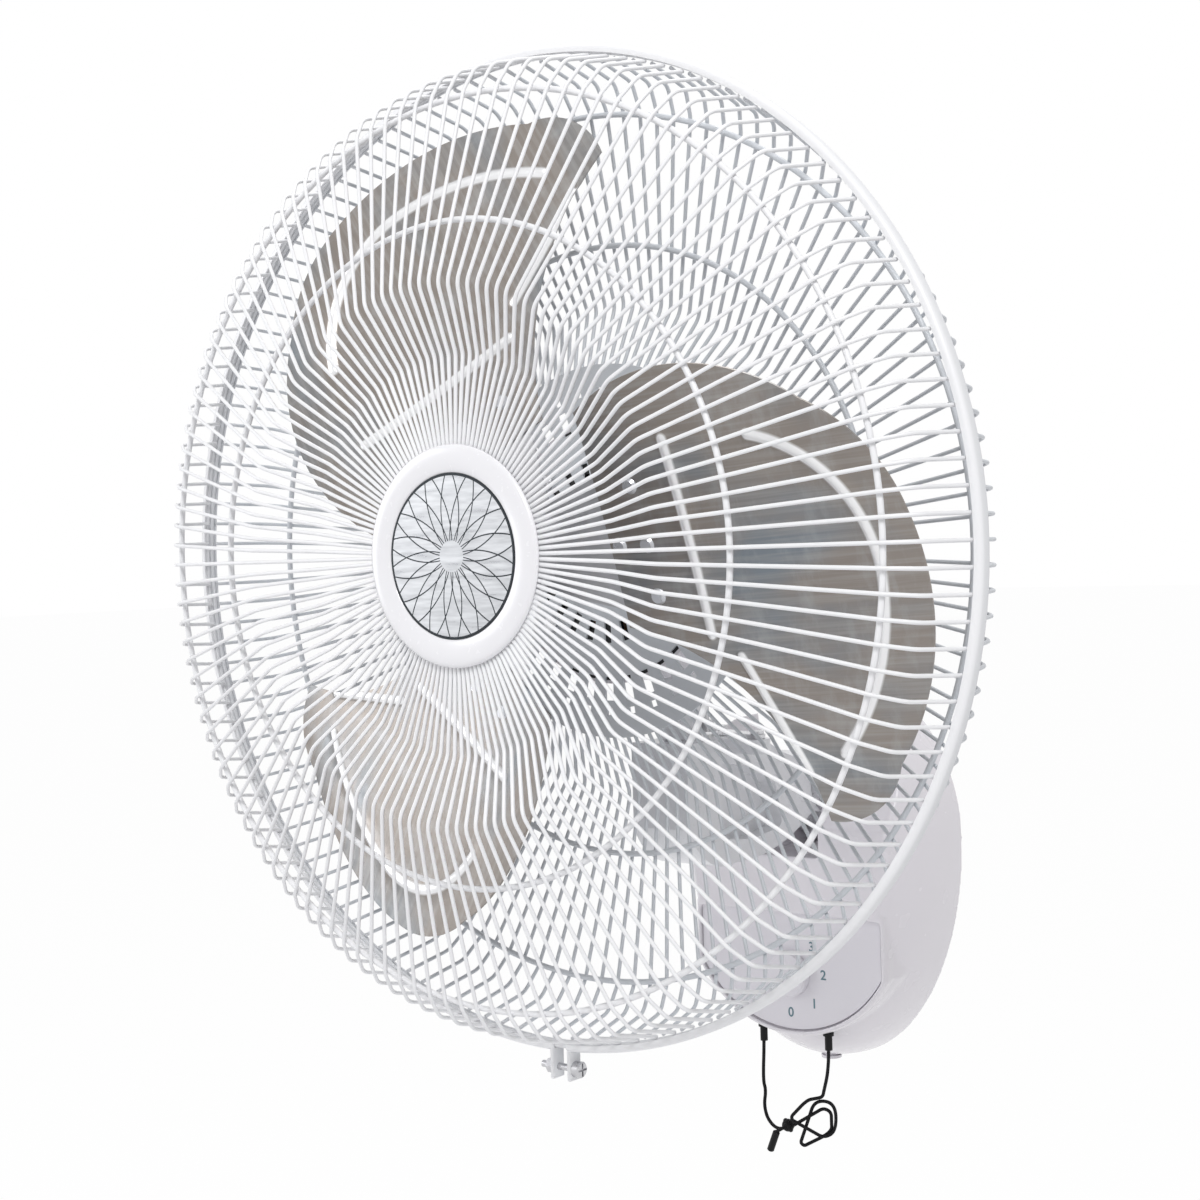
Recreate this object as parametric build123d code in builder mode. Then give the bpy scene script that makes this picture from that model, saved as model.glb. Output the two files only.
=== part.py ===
from build123d import *
import math
import os

# Wall mounted fan with a 500 mm rotor, millimetres.
# The wall is the plane Y = 0, the fan blows towards -Y, and +Z is up.
# The origin is the centre of the wall bracket's four screw holes, on the wall.

os.makedirs("parts", exist_ok=True)

# ---------------------------------------------------------------- driving sizes
AXIS_Z = 230.0            # fan axis above the origin
RIM_Y = -320.0            # plane that blade heights are measured from
SLIP = 0.05               # radial clearance of running fits
GAP = 0.3                 # clearance between pieces that pass each other
FACE_GAP = 0.1            # clearance between covers that lie on each other

# guards: two like cages of radial wires, joined at a band
BAND_Z = -1.25            # middle of the band, forward of the rim plane
BAND_R = 280.0
BAND_WALL = 1.45
WIRE = 2.2                # guard wire thickness
WIRE_COUNT = 132
RING = 3.4                # welded ring thickness
GUARD_HUB_H = 66.4        # height of the flat centre over the band's middle
BEND_R = 108.0            # flat centre ends here
CREST_R = 145.0
CREST_H = 80.8
WIRE_END_R = BAND_R - BAND_WALL - SLIP - RING - WIRE / 2
WIRE_END_H = 3.0
CORNER_R = WIRE_END_R - 8.0
CORNER_H = 37.0
SHOULDER_R = CORNER_R - 14.0
SHOULDER_H = 47.4
RING_RADII = (179.5, SHOULDER_R - 1.5)
FRONT_WIRE_START = 50.0
REAR_WIRE_START = 100.0

# band that clamps the two guards together
BAND_WIDTH = 10.0
BAND_LIP = 4.4
BAND_SPLIT = 9.5          # gap between the band's ends
BAND_SPLIT_X = 10.25
EAR_WALL = 2.5
EAR_DROP = 16.0
BAND_BOLT_R = 2.0
BAND_BOLT_DROP = 9.5
BAND_BOLT_TAIL = 9.0      # thread that stands past the nut's ear
BAND_HEAD = 5.0
BAND_HEAD_R = 4.6
BAND_NUT_R = 4.4
BAND_NUT = 4.2

# front centre
HUB_PLATE_R = 56.0
HUB_PLATE_BORE = 30.0
SHEET = 1.2               # pressed steel
CAP_R = 60.0
CAP_RIM = 3.4
CAP_FLOOR = 1.3
BADGE_R = 44.6
BADGE = 0.8

# rear centre plate
PLATE_R = 110.0
PLATE = 1.4
PLATE_SCREW_R = 2.5
PLATE_SCREW_PCD = 60.0
# middle radius, number, length and width of the vent slots
PLATE_SLOTS = ((48.0, 24, 12.0, 5.0), (81.0, 36, 14.0, 6.0), (94.5, 36, 4.0, 4.0))

# blades
BLADE_COUNT = 3
BLADE_TURN = 3.3          # first blade's middle line, degrees from +X
BLADE_Z = 7.0             # blade's middle line forward of the rim plane
BLADE_PITCH = 17.2
BLADE = 1.2
CAMBER = 900.0
BEAD = 1.5
BEAD_WIDTH = 6.0
ROOT_BEAD_Q = 113.0
RIVET_R = 2.4
RIVET_HEAD_R = 4.6
RIVET_HEAD = 1.7
RIVETS = ((84.0, 31.0), (85.0, -2.0), (84.0, -31.0), (67.0, -1.0))
ARM = 2.5
ARM_END = 96.0
ARM_HALF = 42.0
BOSS_R = 21.0
BOSS_BACK = -16.0
BOSS_FRONT = 22.0

# motor, places forward of the rim plane
SHAFT_R = 6.0
SHAFT_BACK = -146.0
SHAFT_TIP = 34.0
HUB_NUT = 8.0
HUB_NUT_R = 9.8
COVER_R = 78.0
COVER_WALL = 2.0
SHIELD_R = COVER_R - COVER_WALL
SHIELD_WALL = 3.0
SHIELD_SKIRT = 18.0
SEAT_R = 17.5
BEARING_R = 14.0
BEARING = 13.0
STATOR_R = SHIELD_R - 8.0
STATOR_BORE = 33.0
STATOR_BACK = -124.0
STATOR_FRONT = -90.0
COIL = 8.0
ROTOR_GAP = 0.5
REAR_SHIELD_FRONT = -127.5
REAR_SHIELD_BACK = -140.5
COVER_BACK = -184.0
COVER_ROUND = 18.0
COVER_SCREW_R = 2.0
COVER_SCREW_Z = -129.0

# swing: pivot, small motor, crank and link
SWING_Y = -185.0
SWING_PIN_R = 7.0
SWING_BUSH_R = 9.0
SWING_BOSS_R = 13.0
SWING_PIN_TOP = 141.0
SWING_PIN_FOOT = 74.0
WASHER = 1.5
WASHER_R = 13.0
SWING_MOTOR_Y = -159.0
SWING_MOTOR_R = 16.0
SWING_MOTOR = 15.0
SHELF_Z = 163.0
SHELF = 2.5
CRANK_SHAFT_R = 3.0
CRANK_HUB_R = 6.0
CRANK_THROW = 16.0
CRANK = 2.5
CRANK_END_R = 5.0
LINK_POST = (40.0, -160.0)
LINK = 2.5
LINK_END_R = 5.0
LINK_PIN_R = 2.5

# neck
NECK_HALF = 21.0
NECK_TOP = 112.0
NECK_FRONT = -208.0
NECK_BACK = -128.0
POCKET = 12.0
POCKET_RIM = 5.0          # rounding of the pocket's corners
TILT_Y = -50.0
TILT_Z = 72.0
KNUCKLE_R = 20.0
TILT_BOLT_R = 5.0
TILT_HEAD_R = 7.5
TILT_HEAD = 5.5
CHEEK_GAP = 0.4           # play between the neck and each cheek

# base
BRACKET = 2.0
BRACKET_HALF = 66.0
BRACKET_TOP = 52.0
BRACKET_BOTTOM = -60.0
HOLE_X = 40.0
HOLE_Z = 45.0
HOLE_R = 3.0
CHEEK = 3.0
ARM_FOOT = 27.0
ARM_FOOT_TOP = 54.0
ARM_SCREW_R = 2.5
HOUSING_WALL = 2.5
HOUSING_MID_Z = 33.0
HOUSING_HALF = 94.0
HOUSING_UP = 111.0
HOUSING_DOWN = 155.0
HOUSING_FRONT = -72.0
# depth, then how far the outline draws in at the sides, the bottom and the top
HOUSING_STEPS = ((0.0, 0.0, 0.0, 0.0), (-40.0, 3.0, 9.0, 4.0), (-60.0, 9.0, 24.0, 12.0), (-72.0, 18.0, 40.0, 26.0))
NOTCH_R = 66.0
NOTCH_Z = 122.0
SLOPE_FOOT_Z = 44.0       # the front leans back above this height
SLOPE_TOP = (-34.0, 120.0)
SLOT_FLOOR_Z = 24.0
SLOT_HALF = 25.5
PANEL_HALF = 70.0
PANEL_TOP = -14.0
PANEL_CORNER_Z = -52.0
PANEL_BOTTOM = -92.0
PANEL_SINK = 2.5
PANEL = 2.5
PANEL_SEAT = 2.5
LEDGE = 3.0
LEDGE_FRONT = -71.5
POST_R = 9.5
POST_X = 59.0
POST_Z = -34.0
POST_SCREW_R = 2.0
DIAL_Z = -55.0
DIAL_R = 15.0
DIAL = 5.0
DIAL_STEM_R = 3.0
SWITCH_R = 17.0
SWITCH = 16.0

# pull cords
CORD_R = 1.15
CORD_X = 25.5
CORD_Y = -64.5
NOZZLE_R = 2.5
NOZZLE_TOP = -84.0
NOZZLE_FOOT = -104.0
NOZZLE_COLLAR_R = 3.6
NOZZLE_COLLAR_Z = -92.4
GROMMET_Y = -20.0
GROMMET_R = 5.0
GROMMET = 12.0
KNOT_R = 4.2
BELL_R = 2.4
BELL_TOP = (-10.0, -76.0, -161.0)
BELL_FOOT = (-15.5, -76.0, -174.5)
# spare loops of the speed cord: length of a straight run, or radius and left turn of a bend
LOOP_START = (-1.5, 14.3)
LOOP_HEADING = 188.0
LOOP_RISE = -0.043        # drift away from the viewer along the cord
LOOP_STEPS = (
    (2.3, 0), (10, 37), (10.3, 0), (2.6, 103), (19, 0), (8, 122), (2.5, 0), (13.5, 80),
    (3, 80), (26, 0), (2.5, 134), (15, 0), (6, 66), (6.5, 0), (5.2, 118), (20, 0),
)

# ---------------------------------------------------------------- frames
FAN = Plane(origin=(0, RIM_Y, AXIS_Z), x_dir=(1, 0, 0), z_dir=(0, -1, 0))
HALF = Plane(origin=(0, RIM_Y, AXIS_Z), x_dir=(1, 0, 0), z_dir=(0, 0, -1))
FAN_AXIS = Axis((0, RIM_Y, AXIS_Z), (0, -1, 0))
COVER_SCREW_SIDE = Plane(origin=(0, RIM_Y - COVER_SCREW_Z, AXIS_Z), x_dir=(0, 1, 0), z_dir=(1, 0, 0))
FRONT = Plane(origin=(0, 0, 0), x_dir=(1, 0, 0), z_dir=(0, -1, 0))
LOOPS = Plane(origin=(15.6, -64.5, -152), x_dir=(0.764, 0.645, 0), z_dir=(0.645, -0.764, 0))


def save(name, part):
    """Label a finished piece and write its file."""
    part.label = name
    export_step(part, "parts/" + name + ".step")


def ring_face(inner, outer, low, high):
    """Rectangle between two radii and two heights, for a turned piece."""
    with Locations(((inner + outer) / 2, (low + high) / 2)):
        Rectangle(outer - inner, high - low)


def strip(points, width):
    """Corners of a bent strip of one width along the points, with mitred bends."""
    left = []
    right = []
    last = len(points) - 1
    for i, point in enumerate(points):
        here = Vector(*point)
        before = (here - Vector(*points[max(i - 1, 0)])).normalized() if i > 0 else None
        after = (Vector(*points[min(i + 1, last)]) - here).normalized() if i < last else None
        before = before or after
        after = after or before
        middle = (before + after).normalized()
        side = Vector(-middle.Y, middle.X)
        reach = width / 2 / side.dot(Vector(-before.Y, before.X))
        left.append(here + side * reach)
        right.append(here - side * reach)
    return [(v.X, v.Y) for v in left + right[::-1]]


# ---------------------------------------------------------------- guards
def guard_points(start, side):
    """Middle line of a guard wire in HALF: side is 1 for the front guard, -1 for the rear."""
    heights = (
        (start, GUARD_HUB_H),
        (BEND_R, GUARD_HUB_H),
        (CREST_R, CREST_H),
        (SHOULDER_R, SHOULDER_H),
        (CORNER_R, CORNER_H),
        (WIRE_END_R, WIRE_END_H),
    )
    return [(r, BAND_Z + side * h) for r, h in heights]


def guard_wires(name, start, side):
    """All the radial wires of one guard."""
    with BuildPart() as wire:
        with BuildSketch(HALF):
            Polygon(*strip(guard_points(start, side), WIRE), align=None)
        extrude(amount=WIRE / 2, both=True)
    with BuildPart() as wires:
        add([wire.part.rotate(FAN_AXIS, n * 360 / WIRE_COUNT) for n in range(WIRE_COUNT)], clean=False)
    save(name, wires.part)


def guard_rings(name, side):
    """The two middle rings, inside the wires, and the rim ring in the band."""
    slope = math.atan2(SHOULDER_H - CREST_H, SHOULDER_R - CREST_R)
    # straight wires on round rings: the rings stand off by the bow across a wire's width
    seat = (WIRE + RING) / 2 + (WIRE / 2) ** 2 / (2 * RING_RADII[0])
    with BuildPart() as rings:
        with BuildSketch(HALF):
            for radius in RING_RADII:
                height = CREST_H + (radius - CREST_R) * math.tan(slope)
                r = radius + seat * math.sin(slope)
                z = BAND_Z + side * (height - seat * math.cos(slope))
                with Locations((r, z)):
                    Rectangle(RING, RING, rotation=side * math.degrees(slope))
            rim_inner = WIRE_END_R + WIRE / 2
            ring_face(rim_inner, rim_inner + RING, BAND_Z + side * FACE_GAP, BAND_Z + side * (FACE_GAP + RING))
        revolve(axis=FAN_AXIS)
    save(name, rings.part)


guard_wires("front_guard_wires", FRONT_WIRE_START, 1)
guard_wires("rear_guard_wires", REAR_WIRE_START, -1)
guard_rings("front_guard_rings", 1)
guard_rings("rear_guard_rings", -1)

# the band is a channel open inwards, with its ends turned down into two ears
split_left = BAND_SPLIT_X - BAND_SPLIT / 2
split_right = BAND_SPLIT_X + BAND_SPLIT / 2
EAR_TOP = AXIS_Z - BAND_R + BAND_WALL
ear_foot = AXIS_Z - BAND_R - EAR_DROP
bolt_z = AXIS_Z - BAND_R - BAND_BOLT_DROP
band_y = RIM_Y - BAND_Z
BOLT_SIDE = Plane(origin=(0, band_y, bolt_z), x_dir=(0, 1, 0), z_dir=(1, 0, 0))
with BuildPart() as guard_band:
    with BuildSketch(HALF):
        with BuildLine():
            half = BAND_WIDTH / 2
            Polyline(
                (BAND_R - BAND_LIP, BAND_Z - half),
                (BAND_R - BAND_WALL, BAND_Z - half),
                (BAND_R, BAND_Z - half + BAND_WALL),
                (BAND_R, BAND_Z + half - BAND_WALL),
                (BAND_R - BAND_WALL, BAND_Z + half),
                (BAND_R - BAND_LIP, BAND_Z + half),
                (BAND_R - BAND_LIP, BAND_Z + half - BAND_WALL),
                (BAND_R - BAND_WALL, BAND_Z + half - BAND_WALL),
                (BAND_R - BAND_WALL, BAND_Z - half + BAND_WALL),
                (BAND_R - BAND_LIP, BAND_Z - half + BAND_WALL),
                close=True,
            )
        make_face()
    revolve(axis=FAN_AXIS)
    with BuildSketch(Plane.XY.offset(AXIS_Z - BAND_R - 1)):
        with Locations((BAND_SPLIT_X, band_y)):
            Rectangle(BAND_SPLIT, BAND_WIDTH + 2)
    extrude(amount=BAND_LIP + 2, mode=Mode.SUBTRACT)
    for ear_x, way in ((split_left, -1), (split_right, 1)):
        with BuildSketch(Plane.YZ.offset(ear_x)):
            with Locations((band_y, (EAR_TOP + ear_foot) / 2)):
                RectangleRounded(BAND_WIDTH, EAR_TOP - ear_foot, EAR_WALL / 2)
        extrude(amount=way * EAR_WALL)
    with BuildSketch(BOLT_SIDE):
        Circle(BAND_BOLT_R + SLIP)
    extrude(amount=BAND_R / 4, both=True, mode=Mode.SUBTRACT)
save("guard_band", guard_band.part)

nut_right = split_left - EAR_WALL
with BuildPart() as band_bolt:
    with BuildSketch(BOLT_SIDE.offset(nut_right - BAND_BOLT_TAIL)):
        Circle(BAND_BOLT_R)
    extrude(amount=split_right + EAR_WALL - nut_right + BAND_BOLT_TAIL)
    with BuildSketch(BOLT_SIDE.offset(split_right + EAR_WALL)):
        Circle(BAND_HEAD_R)
    extrude(amount=BAND_HEAD)
    chamfer(band_bolt.edges().filter_by(GeomType.CIRCLE).sort_by(Axis.X)[-1], 0.8)
    with BuildSketch(BOLT_SIDE.offset(split_right + EAR_WALL + BAND_HEAD)):
        Rectangle(BAND_HEAD_R * 1.6, 1.2)
        Rectangle(1.2, BAND_HEAD_R * 1.6)
    extrude(amount=-1.5, mode=Mode.SUBTRACT)
save("band_bolt", band_bolt.part)

with BuildPart() as band_nut:
    with BuildSketch(BOLT_SIDE.offset(nut_right)):
        RegularPolygon(BAND_NUT_R, 6)
        Circle(BAND_BOLT_R + SLIP, mode=Mode.SUBTRACT)
    extrude(amount=-BAND_NUT)
save("band_nut", band_nut.part)

# ---------------------------------------------------------------- front centre
wire_front = BAND_Z + GUARD_HUB_H + WIRE / 2
wire_back = BAND_Z + GUARD_HUB_H - WIRE / 2
with BuildPart() as hub_plate:
    with BuildSketch(HALF):
        ring_face(HUB_PLATE_BORE, HUB_PLATE_R, wire_back - SHEET, wire_back)
    revolve(axis=FAN_AXIS)
save("hub_plate", hub_plate.part)

cap_front = wire_front + CAP_RIM
badge_back = wire_front + CAP_FLOOR
with BuildPart() as hub_cap:
    with BuildSketch(HALF):
        with BuildLine():
            Polyline(
                (CAP_R - 4, cap_front),
                (BADGE_R + 1.2, cap_front),
                (BADGE_R + FACE_GAP, cap_front - 1.1),
                (BADGE_R + FACE_GAP, badge_back),
                (0, badge_back),
                (0, wire_front),
                (CAP_R, wire_front),
                (CAP_R, cap_front - 2.4),
            )
            TangentArc((CAP_R, cap_front - 2.4), (CAP_R - 4, cap_front), tangent=(0, 1))
        make_face()
    revolve(axis=FAN_AXIS)
save("hub_cap", hub_cap.part)

with BuildPart() as badge:
    with BuildSketch(FAN.offset(badge_back)):
        Circle(BADGE_R)
    extrude(amount=BADGE)
save("badge", badge.part)

# ---------------------------------------------------------------- rear centre plate
plate_back = BAND_Z - GUARD_HUB_H + WIRE / 2
plate_front = plate_back + PLATE
with BuildPart() as rear_guard_plate:
    with BuildSketch(FAN.offset(plate_back)):
        Circle(PLATE_R)
        Circle(BEARING_R, mode=Mode.SUBTRACT)
        with PolarLocations(PLATE_SCREW_PCD, 4, start_angle=45):
            Circle(PLATE_SCREW_R + SLIP, mode=Mode.SUBTRACT)
        for radius, count, length, width in PLATE_SLOTS:
            with PolarLocations(radius, count):
                Rectangle(length, width, mode=Mode.SUBTRACT)
    extrude(amount=PLATE)
save("rear_guard_plate", rear_guard_plate.part)

shield_front = plate_back - FACE_GAP
with BuildPart() as guard_screws:
    with BuildSketch(FAN.offset(plate_front)):
        with PolarLocations(PLATE_SCREW_PCD, 4, start_angle=45):
            Circle(PLATE_SCREW_R * 1.9)
    extrude(amount=3)
    chamfer(guard_screws.edges().filter_by(GeomType.CIRCLE).group_by(Axis.Y)[0], 1)
    with BuildSketch(FAN.offset(plate_front)):
        with PolarLocations(PLATE_SCREW_PCD, 4, start_angle=45):
            Circle(PLATE_SCREW_R)
    extrude(amount=-SHIELD_SKIRT / 2)
save("guard_screws", guard_screws.part)

# ---------------------------------------------------------------- motor
with BuildPart() as motor_front_shield:
    with BuildSketch(HALF):
        ring_face(BEARING_R, SHIELD_R, shield_front - SHIELD_WALL, shield_front)
        ring_face(BEARING_R, SEAT_R, shield_front - BEARING, shield_front)
        ring_face(STATOR_R, SHIELD_R, STATOR_FRONT - 6, shield_front)
    revolve(axis=FAN_AXIS)
    with BuildSketch(FAN.offset(shield_front)):
        with PolarLocations(PLATE_SCREW_PCD, 4, start_angle=45):
            Circle(PLATE_SCREW_R * 2.2)
    extrude(amount=-SHIELD_SKIRT / 2 - 1)
    with BuildSketch(FAN.offset(shield_front)):
        with PolarLocations(PLATE_SCREW_PCD, 4, start_angle=45):
            Circle(PLATE_SCREW_R + SLIP)
    extrude(amount=-SHIELD_SKIRT / 2, mode=Mode.SUBTRACT)
    with BuildSketch(FAN.offset(shield_front)):
        with PolarLocations(38, 12, start_angle=15):
            Rectangle(20, 6)
    extrude(amount=-SHIELD_WALL, mode=Mode.SUBTRACT)
save("motor_front_shield", motor_front_shield.part)

with BuildPart() as stator_core:
    with BuildSketch(FAN.offset(STATOR_BACK)):
        Circle(STATOR_R)
        Circle(STATOR_BORE, mode=Mode.SUBTRACT)
        with PolarLocations(STATOR_BORE + 9, 16):
            Rectangle(14, 6, mode=Mode.SUBTRACT)
    extrude(amount=STATOR_FRONT - STATOR_BACK)
save("stator_core", stator_core.part)

with BuildPart() as stator_windings:
    for low, high in ((STATOR_BACK - COIL / 2, STATOR_BACK), (STATOR_FRONT, STATOR_FRONT + COIL)):
        with BuildSketch(HALF):
            with Locations((STATOR_BORE + 9, (low + high) / 2)):
                Rectangle(14, high - low)
        revolve(axis=FAN_AXIS)
    chamfer(stator_windings.edges().filter_by(GeomType.CIRCLE), COIL / 8)
save("stator_windings", stator_windings.part)


def bearing(name, front):
    """Sleeve bearing in a motor shield."""
    with BuildPart() as sleeve:
        with BuildSketch(HALF):
            ring_face(SHAFT_R + SLIP, BEARING_R, front - BEARING, front)
        revolve(axis=FAN_AXIS)
    save(name, sleeve.part)


bearing("front_bearing", shield_front)
bearing("rear_bearing", REAR_SHIELD_FRONT)

# the rear shield is one casting with the swing boss and the swing motor's shelf
boss_foot = NECK_TOP + WASHER + SLIP
shelf_front = RIM_Y - REAR_SHIELD_BACK - SHIELD_WALL / 2
shelf_back = SWING_MOTOR_Y + SWING_MOTOR_R
with BuildPart() as yoke:
    with BuildSketch(HALF):
        ring_face(BEARING_R, SHIELD_R, REAR_SHIELD_BACK, REAR_SHIELD_BACK + SHIELD_WALL)
        ring_face(BEARING_R, SEAT_R, REAR_SHIELD_BACK, REAR_SHIELD_FRONT)
        ring_face(STATOR_R, SHIELD_R, REAR_SHIELD_BACK, STATOR_BACK + 6)
    revolve(axis=FAN_AXIS)
    with BuildSketch(Plane.XY.offset(boss_foot)):
        with Locations((0, SWING_Y)):
            Circle(SWING_BOSS_R)
    extrude(amount=AXIS_Z - (STATOR_R + SHIELD_R) / 2 - boss_foot)
    with BuildSketch(Plane.XY.offset(SHELF_Z - SHELF)):
        with Locations((0, (shelf_front + shelf_back) / 2)):
            Rectangle(2 * SWING_MOTOR_R, shelf_back - shelf_front)
    extrude(amount=SHELF)
    for side in (-1, 1):
        with BuildSketch(COVER_SCREW_SIDE):
            Circle(COVER_SCREW_R)
        extrude(amount=side * (COVER_R + 1), mode=Mode.SUBTRACT)
    with BuildSketch(Plane.XY.offset(SHELF_Z - SHELF)):
        with Locations((0, SWING_MOTOR_Y)):
            Circle(CRANK_SHAFT_R + GAP)
    extrude(amount=SHELF, mode=Mode.SUBTRACT)
    with BuildSketch(Plane.XY.offset(boss_foot)):
        with Locations((0, SWING_Y)):
            Circle(SWING_PIN_R)
    extrude(amount=SWING_PIN_TOP - boss_foot, mode=Mode.SUBTRACT)
save("yoke", yoke.part)

with BuildPart() as swing_pin:
    with BuildSketch(Plane.XY.offset(SWING_PIN_FOOT)):
        with Locations((0, SWING_Y)):
            Circle(SWING_PIN_R)
    extrude(amount=SWING_PIN_TOP - SWING_PIN_FOOT)
    chamfer(swing_pin.edges().filter_by(GeomType.CIRCLE).sort_by(Axis.Z)[0], 1)
save("swing_pin", swing_pin.part)

crank_low = NECK_TOP + GAP + LINK + GAP
with BuildPart() as swing_motor:
    with BuildSketch(Plane.XY.offset(SHELF_Z)):
        with Locations((0, SWING_MOTOR_Y)):
            Circle(SWING_MOTOR_R)
    extrude(amount=SWING_MOTOR)
    chamfer(swing_motor.edges().filter_by(GeomType.CIRCLE).sort_by(Axis.Z)[-1], 1.5)
    with BuildSketch(Plane.XY.offset(SHELF_Z)):
        with Locations((0, SWING_MOTOR_Y)):
            Circle(CRANK_SHAFT_R + SLIP)
    extrude(amount=SWING_MOTOR / 2, mode=Mode.SUBTRACT)
save("swing_motor", swing_motor.part)

with BuildPart() as swing_crank:
    with BuildSketch(Plane.XY.offset(crank_low)):
        with Locations((0, SWING_MOTOR_Y)):
            Circle(CRANK_HUB_R)
    extrude(amount=CRANK * 3)
    with BuildSketch(Plane.XY.offset(crank_low)):
        with Locations((0, SWING_MOTOR_Y + CRANK_THROW / 2)):
            SlotCenterToCenter(CRANK_THROW, 2 * CRANK_END_R, rotation=90)
    extrude(amount=CRANK)
    with BuildSketch(Plane.XY.offset(crank_low)):
        with Locations((0, SWING_MOTOR_Y)):
            Circle(CRANK_SHAFT_R)
    extrude(amount=SHELF_Z + SWING_MOTOR / 2 - GAP - crank_low)
save("swing_crank", swing_crank.part)

rest_pin = Vector(0, SWING_MOTOR_Y + CRANK_THROW)
post = Vector(*LINK_POST)
with BuildPart() as swing_link:
    with BuildSketch(Plane.XY.offset(NECK_TOP + GAP)):
        along = rest_pin - post
        with Locations((post + along / 2)):
            SlotCenterToCenter(along.length, 2 * LINK_END_R, rotation=math.degrees(math.atan2(along.Y, along.X)))
        with Locations((post.X, post.Y), (rest_pin.X, rest_pin.Y)):
            Circle(LINK_PIN_R + SLIP, mode=Mode.SUBTRACT)
    extrude(amount=LINK)
save("swing_link", swing_link.part)

with BuildPart() as link_pin:
    with BuildSketch(Plane.XY.offset(NECK_TOP - 6)):
        with Locations((post.X, post.Y)):
            Circle(LINK_PIN_R)
    extrude(amount=6 + GAP + LINK + GAP)
    with BuildSketch(Plane.XY.offset(crank_low)):
        with Locations((post.X, post.Y)):
            Circle(LINK_PIN_R * 1.7)
    extrude(amount=1.6)
save("link_pin", link_pin.part)

# sheet cover round the motor and the swing motor, open in front and cut out below
cover_front = shield_front - FACE_GAP
with BuildPart() as motor_cover:
    with BuildSketch(HALF):
        with BuildLine():
            Polyline(
                (SHIELD_R, cover_front),
                (COVER_R, cover_front),
                (COVER_R, COVER_BACK + COVER_ROUND),
            )
            TangentArc((COVER_R, COVER_BACK + COVER_ROUND), (COVER_R - COVER_ROUND, COVER_BACK), tangent=(0, -1))
            Polyline(
                (COVER_R - COVER_ROUND, COVER_BACK),
                (0, COVER_BACK),
                (0, COVER_BACK + COVER_WALL),
                (COVER_R - COVER_ROUND, COVER_BACK + COVER_WALL),
            )
            TangentArc(
                (COVER_R - COVER_ROUND, COVER_BACK + COVER_WALL),
                (SHIELD_R, COVER_BACK + COVER_ROUND),
                tangent=(1, 0),
            )
            Line((SHIELD_R, COVER_BACK + COVER_ROUND), (SHIELD_R, cover_front))
        make_face()
    revolve(axis=FAN_AXIS)
    with BuildSketch(Plane.XY.offset(AXIS_Z - COVER_R - 1)):
        with Locations((0, (SWING_Y - SWING_BOSS_R - GAP * 5 + SWING_MOTOR_Y + CRANK_HUB_R + GAP * 5) / 2)):
            RectangleRounded(
                2 * (SWING_BOSS_R + GAP * 5),
                SWING_MOTOR_Y + CRANK_HUB_R - SWING_Y + SWING_BOSS_R + GAP * 10,
                SWING_BOSS_R / 3,
            )
    extrude(amount=COVER_R / 3, mode=Mode.SUBTRACT)
    with BuildSketch(FAN.offset(COVER_BACK)):
        with PolarLocations(40, 20):
            Rectangle(26, 4)
    extrude(amount=COVER_WALL, mode=Mode.SUBTRACT)
    with BuildSketch(COVER_SCREW_SIDE):
        Circle(COVER_SCREW_R + SLIP)
    extrude(amount=COVER_R + 1, both=True, mode=Mode.SUBTRACT)
save("motor_cover", motor_cover.part)

with BuildPart() as cover_screws:
    for side in (-1, 1):
        with BuildSketch(COVER_SCREW_SIDE.offset(side * (STATOR_R + 2))):
            Circle(COVER_SCREW_R)
        extrude(amount=side * (COVER_R - STATOR_R - 2))
        with BuildSketch(COVER_SCREW_SIDE.offset(side * COVER_R)):
            Circle(COVER_SCREW_R * 1.8)
        extrude(amount=side * 2, taper=30)
save("cover_screws", cover_screws.part)

# ---------------------------------------------------------------- rotor
with BuildPart() as shaft:
    with BuildSketch(HALF):
        ring_face(0, SHAFT_R, SHAFT_BACK, SHAFT_TIP)
    revolve(axis=FAN_AXIS)
    chamfer(shaft.edges().filter_by(GeomType.CIRCLE), 1)
save("shaft", shaft.part)

with BuildPart() as rotor_core:
    with BuildSketch(FAN.offset(STATOR_BACK + 1)):
        Circle(STATOR_BORE - ROTOR_GAP)
        Circle(SHAFT_R, mode=Mode.SUBTRACT)
    extrude(amount=STATOR_FRONT - STATOR_BACK - 2)
save("rotor_core", rotor_core.part)


def blade_plane(turn):
    """Flat plane of a blade: x outwards along its middle line, y across it, z forwards."""
    a = math.radians(turn)
    p = math.radians(BLADE_PITCH)
    out = Vector(math.cos(a), 0, math.sin(a))
    across = Vector(-math.sin(a) * math.cos(p), -math.sin(p), math.cos(a) * math.cos(p))
    return Plane(origin=(0, RIM_Y - BLADE_Z, AXIS_Z), x_dir=out, z_dir=out.cross(across))


def curved_sheet(plane, low, high):
    """Cambered sheet between two heights over a blade plane, as long as the blade."""
    section = Plane(origin=plane.origin, x_dir=plane.y_dir, z_dir=plane.x_dir)
    lean = math.radians(12)
    with BuildSketch(section) as strip_end:
        with BuildLine():
            for height in (low, high):
                r = CAMBER - height
                edge = (r * math.sin(lean), CAMBER - r * math.cos(lean))
                ThreePointArc((-edge[0], edge[1]), (0, height), edge)
            for way in (-1, 1):
                ends = [
                    (way * (CAMBER - h) * math.sin(lean), CAMBER - (CAMBER - h) * math.cos(lean))
                    for h in (low, high)
                ]
                Line(*ends)
        make_face()
    extrude(strip_end.sketch, amount=BAND_R, mode=Mode.INTERSECT)


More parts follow.
